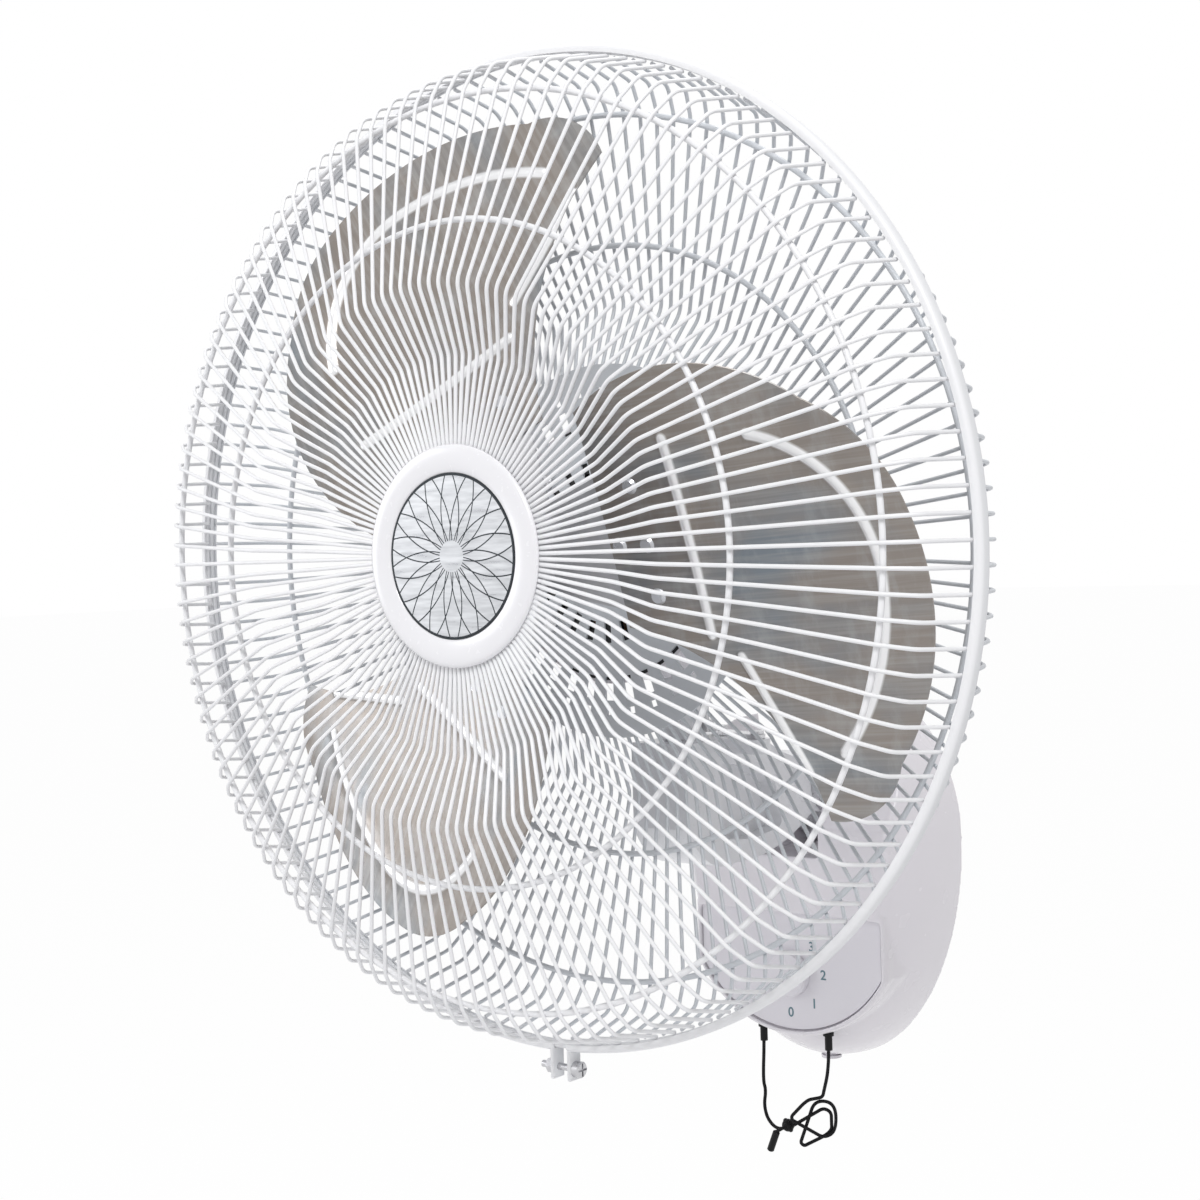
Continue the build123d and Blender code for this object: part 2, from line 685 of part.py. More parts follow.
def blade_outline():
    """Closed outline of a blade in its plane."""
    with BuildLine() as outline:
        Line((60, -47), (62, 75))
        ThreePointArc((62, 75), (132, 92), (200, 64))
        ThreePointArc((200, 64), (228, 38), (243, 3))
        ThreePointArc((243, 3), (246, -48), (212, -128))
        ThreePointArc((212, -128), (195, -151), (166, -157))
        ThreePointArc((166, -157), (129, -88), (60, -47))
    make_face(outline.edges())


def bead_outlines():
    """The three pressed beads: across the root, round the tip, and along the trailing edge."""
    with Locations((ROOT_BEAD_Q, 0)):
        SlotCenterToCenter(108, BEAD_WIDTH, rotation=90)
    with BuildLine() as tip:
        ThreePointArc((165, 50), (209, 18), (222, -27))
        ThreePointArc((222, -27), (212, -73), (181, -121))
    trace(tip.edges(), line_width=BEAD_WIDTH)
    with BuildLine() as edge:
        Line((129, -67), (158, -131))
    trace(edge.edges(), line_width=BEAD_WIDTH * 0.8)


def at_rivet(plane, q, across, height):
    """Plane square to the cambered sheet at a rivet, at a height over its middle surface."""
    lean = math.asin(across / CAMBER)
    foot = Vector(q, math.sin(lean) * (CAMBER - height), CAMBER - (CAMBER - height) * math.cos(lean))
    up = Vector(0, -math.sin(lean), math.cos(lean))
    origin = plane.from_local_coords(foot)
    tip = plane.from_local_coords(foot + up)
    return Plane(origin=origin, x_dir=plane.x_dir, z_dir=tip - origin)


blade_planes = [blade_plane(BLADE_TURN + n * 360 / BLADE_COUNT) for n in range(BLADE_COUNT)]
for number, plane in enumerate(blade_planes, start=1):
    with BuildPart() as beads:
        with BuildSketch(plane):
            bead_outlines()
        extrude(amount=BOSS_R, both=True)
        curved_sheet(plane, BLADE / 2 - 0.1, BLADE / 2 + BEAD)
    with BuildPart() as blade:
        with BuildSketch(plane):
            blade_outline()
        extrude(amount=BOSS_R, both=True)
        curved_sheet(plane, -BLADE / 2, BLADE / 2)
        add(beads.part)
        for q, across in RIVETS:
            with BuildSketch(at_rivet(plane, q, across, 0)):
                Circle(RIVET_R)
            extrude(amount=BLADE * 2, both=True, mode=Mode.SUBTRACT)
    save("blade_" + str(number), blade.part)

with BuildPart() as blade_arms:
    for plane in blade_planes:
        with BuildPart(mode=Mode.PRIVATE) as arm:
            with BuildSketch(plane):
                Polygon(
                    (0, -ARM_HALF / 2),
                    (ARM_END - 20, -ARM_HALF),
                    (ARM_END, -ARM_HALF + 14),
                    (ARM_END, ARM_HALF - 14),
                    (ARM_END - 20, ARM_HALF),
                    (0, ARM_HALF / 2),
                    align=None,
                )
            extrude(amount=BOSS_R, both=True)
            curved_sheet(plane, -BLADE / 2 - ARM, -BLADE / 2)
            for q, across in RIVETS:
                with BuildSketch(at_rivet(plane, q, across, -BLADE)):
                    Circle(RIVET_R)
                extrude(amount=ARM * 2, both=True, mode=Mode.SUBTRACT)
        add(arm.part)
with BuildPart() as blade_hub:
    with BuildSketch(HALF):
        ring_face(0, BOSS_R, BOSS_BACK, BOSS_FRONT)
    revolve(axis=FAN_AXIS)
    chamfer(blade_hub.edges().filter_by(GeomType.CIRCLE), 2)
    add(blade_arms.part)
    with BuildSketch(HALF):
        ring_face(0, SHAFT_R, BOSS_BACK - 1, BOSS_FRONT + 1)
    revolve(axis=FAN_AXIS, mode=Mode.SUBTRACT)
save("blade_hub", blade_hub.part)

with BuildPart() as blade_rivets:
    for plane in blade_planes:
        for q, across in RIVETS:
            back = -BLADE / 2 - ARM
            for height, way in ((BLADE / 2 + SLIP, 1), (back - SLIP, -1)):
                with BuildSketch(at_rivet(plane, q, across, height)):
                    Circle(RIVET_HEAD_R)
                extrude(amount=way * RIVET_HEAD, taper=35)
            with BuildSketch(at_rivet(plane, q, across, back - SLIP)):
                Circle(RIVET_R)
            extrude(amount=BLADE + ARM + 2 * SLIP)
save("blade_rivets", blade_rivets.part)

with BuildPart() as hub_nut:
    with BuildSketch(FAN.offset(BOSS_FRONT)):
        RegularPolygon(HUB_NUT_R, 6)
        Circle(SHAFT_R, mode=Mode.SUBTRACT)
    extrude(amount=HUB_NUT)
save("hub_nut", hub_nut.part)

# ---------------------------------------------------------------- neck
KNUCKLE = (TILT_Y, TILT_Z)
with BuildPart() as neck:
    with BuildSketch(Plane.YZ):
        with BuildLine():
            Polyline((NECK_BACK, NECK_TOP), (NECK_FRONT, NECK_TOP), (NECK_FRONT, 60))
            ThreePointArc((NECK_FRONT, 60), (-193, 41), (-160, 34))
            ThreePointArc((-160, 34), (-115, 37), (TILT_Y - 14, TILT_Z - 14.3))
            Polyline((TILT_Y - 14, TILT_Z - 14.3), (TILT_Y, TILT_Z), (TILT_Y - 2, TILT_Z + 19.9))
            ThreePointArc((TILT_Y - 2, TILT_Z + 19.9), (-96, 95), (NECK_BACK, NECK_TOP))
        make_face()
        with Locations(KNUCKLE):
            Circle(KNUCKLE_R)
    extrude(amount=NECK_HALF, both=True)
    with BuildSketch(Plane.XY.offset(NECK_TOP)):
        with Locations((NECK_HALF, post.Y)):
            SlotCenterToCenter(2 * (post.X - NECK_HALF), 4 * LINK_END_R * 0.8)
    extrude(amount=-9)
    for way in (-1, 1):
        with BuildSketch(Plane.YZ.offset(way * NECK_HALF)) as pocket:
            Polygon((-172, 98), (-172, 50), (-140, 46), (-105, 50), (-112, 78), (-140, 92), align=None)
            fillet(pocket.vertices(), POCKET_RIM)
        extrude(amount=-way * POCKET, mode=Mode.SUBTRACT)
    with BuildSketch(Plane.XY.offset(NECK_TOP)):
        with Locations((0, SWING_Y)):
            Circle(SWING_BUSH_R)
    extrude(amount=SWING_PIN_FOOT - 2 - NECK_TOP, mode=Mode.SUBTRACT)
    with BuildSketch(Plane.XY.offset(NECK_TOP)):
        with Locations((post.X, post.Y)):
            Circle(LINK_PIN_R)
    extrude(amount=-6, mode=Mode.SUBTRACT)
    with BuildSketch(Plane.YZ):
        with Locations(KNUCKLE):
            Circle(TILT_BOLT_R + SLIP)
    extrude(amount=NECK_HALF + 1, both=True, mode=Mode.SUBTRACT)
save("neck", neck.part)

with BuildPart() as swing_bush:
    with BuildSketch(Plane.XY.offset(SWING_PIN_FOOT - 2)):
        with Locations((0, SWING_Y)):
            Circle(SWING_BUSH_R)
            Circle(SWING_PIN_R + SLIP, mode=Mode.SUBTRACT)
    extrude(amount=NECK_TOP - SWING_PIN_FOOT + 2)
save("swing_bush", swing_bush.part)

with BuildPart() as thrust_washer:
    with BuildSketch(Plane.XY.offset(NECK_TOP)):
        with Locations((0, SWING_Y)):
            Circle(WASHER_R)
            Circle(SWING_PIN_R + GAP, mode=Mode.SUBTRACT)
    extrude(amount=WASHER)
save("thrust_washer", thrust_washer.part)

# ---------------------------------------------------------------- base: brackets and tilt bolt
ARM_SCREWS = [(x, z) for x in (-14, 14) for z in (32, 48)]
WALL_HOLES = [(x, z) for x in (-HOLE_X, HOLE_X) for z in (-HOLE_Z, HOLE_Z)]
POSTS = [(-POST_X, POST_Z), (POST_X, POST_Z)]
with BuildPart() as wall_bracket:
    with BuildSketch(FRONT):
        with Locations((0, (BRACKET_TOP + BRACKET_BOTTOM) / 2)):
            RectangleRounded(2 * BRACKET_HALF, BRACKET_TOP - BRACKET_BOTTOM, 8)
        with Locations(*WALL_HOLES):
            Circle(HOLE_R, mode=Mode.SUBTRACT)
        with Locations(*ARM_SCREWS):
            Circle(ARM_SCREW_R, mode=Mode.SUBTRACT)
        with Locations(*POSTS):
            Circle(POST_SCREW_R, mode=Mode.SUBTRACT)
    extrude(amount=BRACKET)
save("wall_bracket", wall_bracket.part)

cheek_inner = NECK_HALF + CHEEK_GAP
cheek_outer = cheek_inner + CHEEK
with BuildPart() as arm_bracket:
    with BuildSketch(FRONT.offset(BRACKET)):
        with Locations((0, (ARM_FOOT_TOP + ARM_FOOT) / 2)):
            Rectangle(2 * cheek_outer, ARM_FOOT_TOP - ARM_FOOT)
        with Locations(*ARM_SCREWS):
            Circle(ARM_SCREW_R, mode=Mode.SUBTRACT)
    extrude(amount=CHEEK)
    for side in (-1, 1):
        with BuildSketch(Plane.YZ.offset(side * cheek_inner)):
            with BuildLine():
                CenterArc((TILT_Y, TILT_Z), KNUCKLE_R, 0, 360)
                Line((-BRACKET, ARM_FOOT), (-BRACKET, ARM_FOOT_TOP + 6))
            make_hull()
            with Locations(KNUCKLE):
                Circle(TILT_BOLT_R, mode=Mode.SUBTRACT)
        extrude(amount=side * CHEEK)
save("arm_bracket", arm_bracket.part)

with BuildPart() as bracket_screws:
    with BuildSketch(FRONT.offset(0.2)):
        with Locations(*ARM_SCREWS):
            Circle(ARM_SCREW_R)
    extrude(amount=BRACKET + CHEEK - 0.2)
    with BuildSketch(FRONT.offset(BRACKET + CHEEK)):
        with Locations(*ARM_SCREWS):
            Circle(ARM_SCREW_R * 1.8)
    extrude(amount=2.5)
save("bracket_screws", bracket_screws.part)

TILT_SIDE = Plane(origin=(0, TILT_Y, TILT_Z), x_dir=(0, 1, 0), z_dir=(1, 0, 0))
with BuildPart() as tilt_bolt:
    with BuildSketch(TILT_SIDE.offset(-cheek_outer - TILT_HEAD - 3)):
        Circle(TILT_BOLT_R)
    extrude(amount=2 * cheek_outer + TILT_HEAD + 3)
    with BuildSketch(TILT_SIDE.offset(cheek_outer)):
        Circle(TILT_HEAD_R)
    extrude(amount=TILT_HEAD)
    chamfer(tilt_bolt.edges().filter_by(GeomType.CIRCLE).sort_by(Axis.X)[-1], 1)
    with BuildSketch(TILT_SIDE.offset(cheek_outer + TILT_HEAD)):
        RegularPolygon(TILT_BOLT_R * 0.8, 6)
    extrude(amount=-TILT_HEAD / 2, mode=Mode.SUBTRACT)
save("tilt_bolt", tilt_bolt.part)

with BuildPart() as tilt_nut:
    with BuildSketch(TILT_SIDE.offset(-cheek_outer)):
        RegularPolygon(TILT_HEAD_R, 6)
        Circle(TILT_BOLT_R, mode=Mode.SUBTRACT)
    extrude(amount=-TILT_HEAD)
save("tilt_nut", tilt_nut.part)

# ---------------------------------------------------------------- base: housing and panel
SIDE = Plane(origin=(0, 0, 0), x_dir=(0, 1, 0), z_dir=(1, 0, 0))
FAR = 400.0               # longer than anything that is cut
ledge_rear = -30.0
panel_back = HOUSING_FRONT + PANEL_SINK + PANEL


def housing_form(wall):
    """Outer form of the housing, or the same form drawn in by a wall."""
    sections = []
    for y, sides, bottom, top in HOUSING_STEPS:
        y = max(y, HOUSING_FRONT + wall)
        with BuildSketch(FRONT.offset(-y)) as section:
            with BuildLine():
                half = HOUSING_HALF - sides - wall
                EllipticalCenterArc((0, HOUSING_MID_Z), half, HOUSING_UP - top - wall, 0, arc_size=180)
                EllipticalCenterArc((0, HOUSING_MID_Z), half, HOUSING_DOWN - bottom - wall, 180, arc_size=180)
            make_face()
        sections.append(section.sketch)
    loft(sections, ruled=True)


def panel_face(grow):
    """Outline of the control panel, grown or drawn in."""
    with BuildLine() as outline:
        half = PANEL_HALF + grow
        Polyline((-half, PANEL_CORNER_Z), (-half, PANEL_TOP + grow), (half, PANEL_TOP + grow), (half, PANEL_CORNER_Z))
        ThreePointArc((half, PANEL_CORNER_Z), (0, PANEL_BOTTOM - grow), (-half, PANEL_CORNER_Z))
    make_face(outline.edges())


def top_cuts(wall, mode):
    """Notch, neck slot and sloping front, all held back by a wall."""
    with BuildSketch(FRONT.offset(-FAR)) as opening:
        with Locations((0, NOTCH_Z)):
            Circle(NOTCH_R + wall)
        with Locations((0, (SLOT_FLOOR_Z + NOTCH_Z) / 2 - wall)):
            Rectangle(2 * (SLOT_HALF + wall), NOTCH_Z - SLOT_FLOOR_Z)
    extrude(opening.sketch, amount=2 * FAR, mode=mode)
    foot = Vector(HOUSING_FRONT, SLOPE_FOOT_Z)
    rise = (Vector(*SLOPE_TOP) - foot).normalized()
    foot = foot + Vector(rise.Y, -rise.X) * wall
    with BuildSketch(SIDE.offset(-FAR)) as slope:
        low = foot - rise * 40
        high = foot + rise * 200
        Polygon((low.X, low.Y), (high.X, high.Y), (high.X - FAR, high.Y), (low.X - FAR, low.Y), align=None)
    extrude(slope.sketch, amount=2 * FAR, mode=mode)


with BuildPart() as cavity:
    housing_form(HOUSING_WALL)
    top_cuts(HOUSING_WALL, Mode.SUBTRACT)
    with BuildSketch(FRONT.offset(-ledge_rear)):
        panel_face(0)
    extrude(amount=-panel_back - PANEL_SEAT + ledge_rear)

with BuildPart() as base_housing:
    housing_form(0)
    top_cuts(0, Mode.SUBTRACT)
    with BuildSketch(FRONT.offset(-ledge_rear)):
        panel_face(LEDGE)
    extrude(amount=ledge_rear - LEDGE_FRONT)
    add(cavity.part, mode=Mode.SUBTRACT)
    with BuildSketch(FRONT.offset(-panel_back - PANEL_SEAT)):
        panel_face(LEDGE)
    extrude(amount=panel_back + PANEL_SEAT - LEDGE_FRONT)
    with BuildSketch(FRONT.offset(BRACKET)):
        with Locations(*POSTS):
            Circle(POST_R)
    extrude(amount=-panel_back - 1 - BRACKET)
    with BuildSketch(FRONT.offset(-panel_back)):
        panel_face(0)
    extrude(amount=FAR, mode=Mode.SUBTRACT)
    with BuildSketch(FRONT.offset(-panel_back - PANEL_SEAT)):
        panel_face(-PANEL_SEAT)
        with Locations(*POSTS):
            Circle(POST_R, mode=Mode.SUBTRACT)
    extrude(amount=FAR, mode=Mode.SUBTRACT)
    with BuildSketch(FRONT.offset(-panel_back - 5)):
        with Locations(*POSTS):
            Circle(POST_SCREW_R * 2.3)
    extrude(amount=FAR, mode=Mode.SUBTRACT)
    with BuildSketch(FRONT):
        with Locations(*POSTS):
            Circle(POST_SCREW_R + SLIP)
    extrude(amount=FAR, mode=Mode.SUBTRACT)
    with BuildSketch(FRONT):
        with Locations((0, (BRACKET_TOP + BRACKET_BOTTOM) / 2)):
            Rectangle(2 * (BRACKET_HALF + GAP), BRACKET_TOP - BRACKET_BOTTOM + 2 * GAP)
    extrude(amount=BRACKET, mode=Mode.SUBTRACT)
    with BuildSketch(Plane.XY.offset(NOZZLE_FOOT)):
        with Locations((-CORD_X, CORD_Y), (CORD_X, CORD_Y)):
            Circle(NOZZLE_R)
    extrude(amount=NOZZLE_TOP - NOZZLE_FOOT, mode=Mode.SUBTRACT)
    with BuildSketch(Plane.XY.offset(HOUSING_MID_Z - HOUSING_DOWN)):
        with Locations((0, GROMMET_Y)):
            Circle(GROMMET_R)
    extrude(amount=3 * GROMMET, mode=Mode.SUBTRACT)
save("base_housing", base_housing.part)

with BuildPart() as base_screws:
    with BuildSketch(FRONT.offset(0.2)):
        with Locations(*POSTS):
            Circle(POST_SCREW_R)
    extrude(amount=-panel_back - 5 - 0.2)
    with BuildSketch(FRONT.offset(-panel_back - 5)):
        with Locations(*POSTS):
            Circle(POST_SCREW_R * 2)
    extrude(amount=2.5)
save("base_screws", base_screws.part)

with BuildPart() as control_panel:
    with BuildSketch(FRONT.offset(-panel_back)):
        panel_face(-GAP)
        with Locations((0, DIAL_Z)):
            Circle(DIAL_STEM_R + GAP, mode=Mode.SUBTRACT)
    extrude(amount=PANEL)
save("control_panel", control_panel.part)

with BuildPart() as speed_dial:
    with BuildSketch(FRONT.offset(-panel_back + PANEL + GAP)):
        with Locations((0, DIAL_Z)):
            Circle(DIAL_R)
    extrude(amount=DIAL)
    chamfer(speed_dial.edges().filter_by(GeomType.CIRCLE).sort_by(Axis.Y)[0], 1)
    with BuildSketch(FRONT.offset(-panel_back - SWITCH / 2)):
        with Locations((0, DIAL_Z)):
            Circle(DIAL_STEM_R)
    extrude(amount=SWITCH / 2 + PANEL + GAP)
save("speed_dial", speed_dial.part)

with BuildPart() as speed_switch:
    with BuildSketch(FRONT.offset(-panel_back - SWITCH)):
        with Locations((0, DIAL_Z)):
            Circle(SWITCH_R)
    extrude(amount=SWITCH)
    with BuildSketch(FRONT.offset(-panel_back - SWITCH / 2 - GAP)):
        with Locations((0, DIAL_Z)):
            Circle(DIAL_STEM_R + SLIP)
    extrude(amount=SWITCH, mode=Mode.SUBTRACT)
save("speed_switch", speed_switch.part)

with BuildPart() as swing_switch:
    with BuildSketch(FRONT.offset(-panel_back - SWITCH)):
        with Locations((-CORD_X - 2.5, -62)):
            RectangleRounded(18, 24, 2)
    extrude(amount=SWITCH)
save("swing_switch", swing_switch.part)

with BuildPart() as capacitor:
    with BuildSketch(FRONT.offset(BRACKET)):
        RectangleRounded(48, 28, 4)
    extrude(amount=20)
save("capacitor", capacitor.part)

with BuildPart() as terminal_block:
    with BuildSketch(FRONT.offset(BRACKET)):
        with Locations((0, -37)):
            Rectangle(36, 16)
    extrude(amount=12)
    with BuildSketch(FRONT.offset(BRACKET + 12)):
        with GridLocations(8, 1, 4, 1):
            with Locations((0, -37)):
                Circle(2.2)
    extrude(amount=-4, mode=Mode.SUBTRACT)
save("terminal_block", terminal_block.part)

with BuildPart() as cord_nozzles:
    with BuildSketch(Plane.XY.offset(NOZZLE_FOOT)):
        with Locations((-CORD_X, CORD_Y), (CORD_X, CORD_Y)):
            Circle(NOZZLE_R)
    extrude(amount=NOZZLE_TOP - NOZZLE_FOOT)
    with BuildSketch(Plane.XY.offset(NOZZLE_COLLAR_Z)):
        with Locations((-CORD_X, CORD_Y), (CORD_X, CORD_Y)):
            Circle(NOZZLE_COLLAR_R)
    extrude(amount=-2)
    with BuildSketch(Plane.XY.offset(NOZZLE_FOOT)):
        with Locations((-CORD_X, CORD_Y), (CORD_X, CORD_Y)):
            Circle(CORD_R + GAP)
    extrude(amount=NOZZLE_TOP - NOZZLE_FOOT, mode=Mode.SUBTRACT)
save("cord_nozzles", cord_nozzles.part)

with BuildPart() as cord_grommet:
    with BuildSketch(Plane.XY.offset(HOUSING_MID_Z - HOUSING_DOWN + 0.5)):
        with Locations((0, GROMMET_Y)):
            Circle(GROMMET_R)
    extrude(amount=GROMMET)
    with BuildSketch(Plane.XY.offset(HOUSING_MID_Z - HOUSING_DOWN + 0.5)):
        with Locations((0, GROMMET_Y)):
            Circle(GROMMET_R + 2)
    extrude(amount=1.8)
save("cord_grommet", cord_grommet.part)

# ---------------------------------------------------------------- pull cords


def bend_radii(points):
    """Radius at each inner corner, so that its arc uses 0.45 of the shorter run beside it."""
    radii = []
    for before, here, after in zip(points, points[1:], points[2:]):
        first = Vector(*here) - Vector(*before)
        second = Vector(*after) - Vector(*here)
        half_turn = math.radians(first.get_angle(second) / 2)
        radii.append(0.45 * min(first.length, second.length) / math.tan(half_turn))
    return radii


def tube(name, route):
    """Round cord along a route, printed with its length and how true its volume is."""
    with BuildPart() as cord:
        with BuildSketch(Plane(origin=route @ 0, z_dir=route % 0)) as section:
            Circle(CORD_R)
        sweep(section.sketch, path=route)
    true = math.pi * CORD_R**2 * route.length
    print(name, "length", round(route.length, 1), "volume ratio", round(cord.part.volume / true, 3))
    save(name, cord.part)
    return cord.part


def free_cord(name, points):
    """Hanging cord of straight runs and arcs."""
    radii = bend_radii(points)
    print(name, "bend radii", [round(r, 1) for r in radii])
    with BuildLine() as route:
        FilletPolyline(*points, radius=radii)
    return tube(name, route.wires()[0])


# the loops lie nearly in one plane, each turn a little behind the one before
heading = math.radians(LOOP_HEADING)
ahead = LOOPS.x_dir * math.cos(heading) + LOOPS.y_dir * math.sin(heading)
loop_start = LOOPS.from_local_coords(Vector(*LOOP_START, 0))
here = loop_start
with BuildLine() as loops:
    for size, turn in LOOP_STEPS:
        if turn == 0:
            run = Line(here, here + ahead * size)
        else:
            bend = math.radians(turn)
            left = LOOPS.z_dir.cross(ahead).normalized()
            onward = ahead * (size * math.sin(bend)) + left * (size * (1 - math.cos(bend)))
            run = TangentArc(here, here + onward + LOOPS.z_dir * (LOOP_RISE * size * bend), tangent=ahead)
        here = run @ 1
        ahead = run % 1
loop_wire = loops.wires()[0]
samples = [(loop_wire @ (i / 600), i / 600 * loop_wire.length) for i in range(601)]
gap = min(
    (a - b).length - 2 * CORD_R
    for i, (a, at) in enumerate(samples)
    for b, bt in samples[i:]
    if bt - at > 8
)
print("loops: least gap between turns", round(gap, 2))
loops_tube = tube("cord_bundle", loop_wire)
knot_at = here + ahead * (KNOT_R - 0.6)

start_way = LOOPS.x_dir * math.cos(heading) + LOOPS.y_dir * math.sin(heading)
corner = loop_start - start_way * 5
speed_points = [
    (CORD_X, CORD_Y, NOZZLE_TOP - 2),
    (CORD_X, CORD_Y, NOZZLE_FOOT - 1),
    (24.3, -64.8, -120),
    (corner.X, corner.Y, corner.Z),
    (loop_start.X, loop_start.Y, loop_start.Z),
]
free_cord("speed_cord", speed_points)

toward = (knot_at - Vector(-12.5, -70.5, -161.7)).normalized()
swing_end = knot_at - toward * (KNOT_R - 0.6)
swing_points = [
    (-CORD_X, CORD_Y, NOZZLE_TOP - 2),
    (-CORD_X, CORD_Y, NOZZLE_FOOT - 1),
    (-27.1, -65, -131.5),
    (-24.6, -65.5, -137.7),
    (-25.9, -66.5, -147.9),
    (-21.7, -68.5, -156.9),
    (-12.5, -70.5, -161.7),
    (swing_end.X, swing_end.Y, swing_end.Z),
]
swing_tube = free_cord("swing_cord", swing_points)

bell_way = (Vector(*BELL_FOOT) - Vector(*BELL_TOP)).normalized()
neck_way = Vector(*BELL_TOP) - knot_at
with BuildPart() as cord_end:
    with BuildSketch(Plane(origin=BELL_TOP, z_dir=bell_way)):
        Circle(BELL_R)
    extrude(amount=(Vector(*BELL_FOOT) - Vector(*BELL_TOP)).length)
    chamfer(cord_end.edges(), 0.5)
    with BuildSketch(Plane(origin=knot_at + neck_way.normalized() * (KNOT_R - 0.6), z_dir=neck_way)):
        Circle(CORD_R)
    extrude(amount=neck_way.length - KNOT_R + 0.6 + BELL_R / 2)
save("cord_end", cord_end.part)

with BuildPart() as cord_knot:
    with Locations(knot_at):
        Sphere(KNOT_R)
    with Locations(Plane(origin=knot_at, z_dir=ahead)):
        Torus(KNOT_R * 0.8, KNOT_R * 0.4)
    for strand in (loops_tube, swing_tube, cord_end.part):
        add(strand, mode=Mode.SUBTRACT)
save("cord_knot", cord_knot.part)
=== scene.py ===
import math

import bmesh
import bpy
from mathutils import Matrix, Vector
from mathutils.geometry import delaunay_2d_cdt


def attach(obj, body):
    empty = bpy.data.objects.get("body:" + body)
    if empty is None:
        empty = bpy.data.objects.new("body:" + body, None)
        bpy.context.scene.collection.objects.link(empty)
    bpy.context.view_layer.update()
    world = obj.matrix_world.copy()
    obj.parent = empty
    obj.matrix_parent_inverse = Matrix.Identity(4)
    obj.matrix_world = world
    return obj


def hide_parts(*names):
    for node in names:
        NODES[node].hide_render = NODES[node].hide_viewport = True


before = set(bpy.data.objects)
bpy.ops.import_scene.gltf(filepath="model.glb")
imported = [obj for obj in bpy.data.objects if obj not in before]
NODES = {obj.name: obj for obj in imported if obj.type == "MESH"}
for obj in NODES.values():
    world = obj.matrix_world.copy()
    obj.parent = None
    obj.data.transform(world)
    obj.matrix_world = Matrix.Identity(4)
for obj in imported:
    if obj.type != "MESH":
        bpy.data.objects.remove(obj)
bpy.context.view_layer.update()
MM = 0.001

# ---------------------------------------------------------------- sizes, millimetres, as in the CAD
AXIS_Z = 230.0  # fan axis over the wall bracket's middle
RIM_Y = -320.0  # plane of the guard's rim
BAND_Z = -1.25  # middle of the clamp band, forward of the rim plane
BAND_R = 280.0
WIRE = 2.2
WIRE_COUNT = 132
RING = 3.4
RING_RADII = (179.5, 250.5)
CORD_R = 1.15

# bends of a guard wire: radius, and height over the rim plane
FRONT_WIRE_START = 50.0
REAR_WIRE_START = 100.0
GUARD_HUB_H = 66.4
PLATE_EDGE = (108.0, GUARD_HUB_H)
CREST = (145.0, 80.8)
SHOULDER = (252.0, 47.4)
CORNER = (266.0, 37.0)
WIRE_END = (274.0, 3.0)

# ---------------------------------------------------------------- camera
EYE = Vector((0.7094, -1.1607, 0.230))
TARGET = Vector((0.0464, -0.320, 0.2035))
ROLL = math.asin(-0.0316)
FOCAL = 58.64
SENSOR = 36.0


def make_camera():
    """Camera at the photograph's viewpoint, slightly rolled."""
    ahead = (TARGET - EYE).normalized()
    level = ahead.cross(Vector((0, 0, 1))).normalized()
    upright = level.cross(ahead)
    right = math.cos(ROLL) * level + math.sin(ROLL) * upright
    up = -math.sin(ROLL) * level + math.cos(ROLL) * upright
    data = bpy.data.cameras.new("camera")
    data.lens = FOCAL
    data.sensor_width = SENSOR
    data.sensor_fit = "HORIZONTAL"
    data.dof.use_dof = False
    camera = bpy.data.objects.new("camera", data)
    turn = Matrix((right, up, -ahead)).transposed().to_4x4()
    camera.matrix_world = Matrix.Translation(EYE) @ turn
    bpy.context.scene.collection.objects.link(camera)
    bpy.context.scene.camera = camera


make_camera()


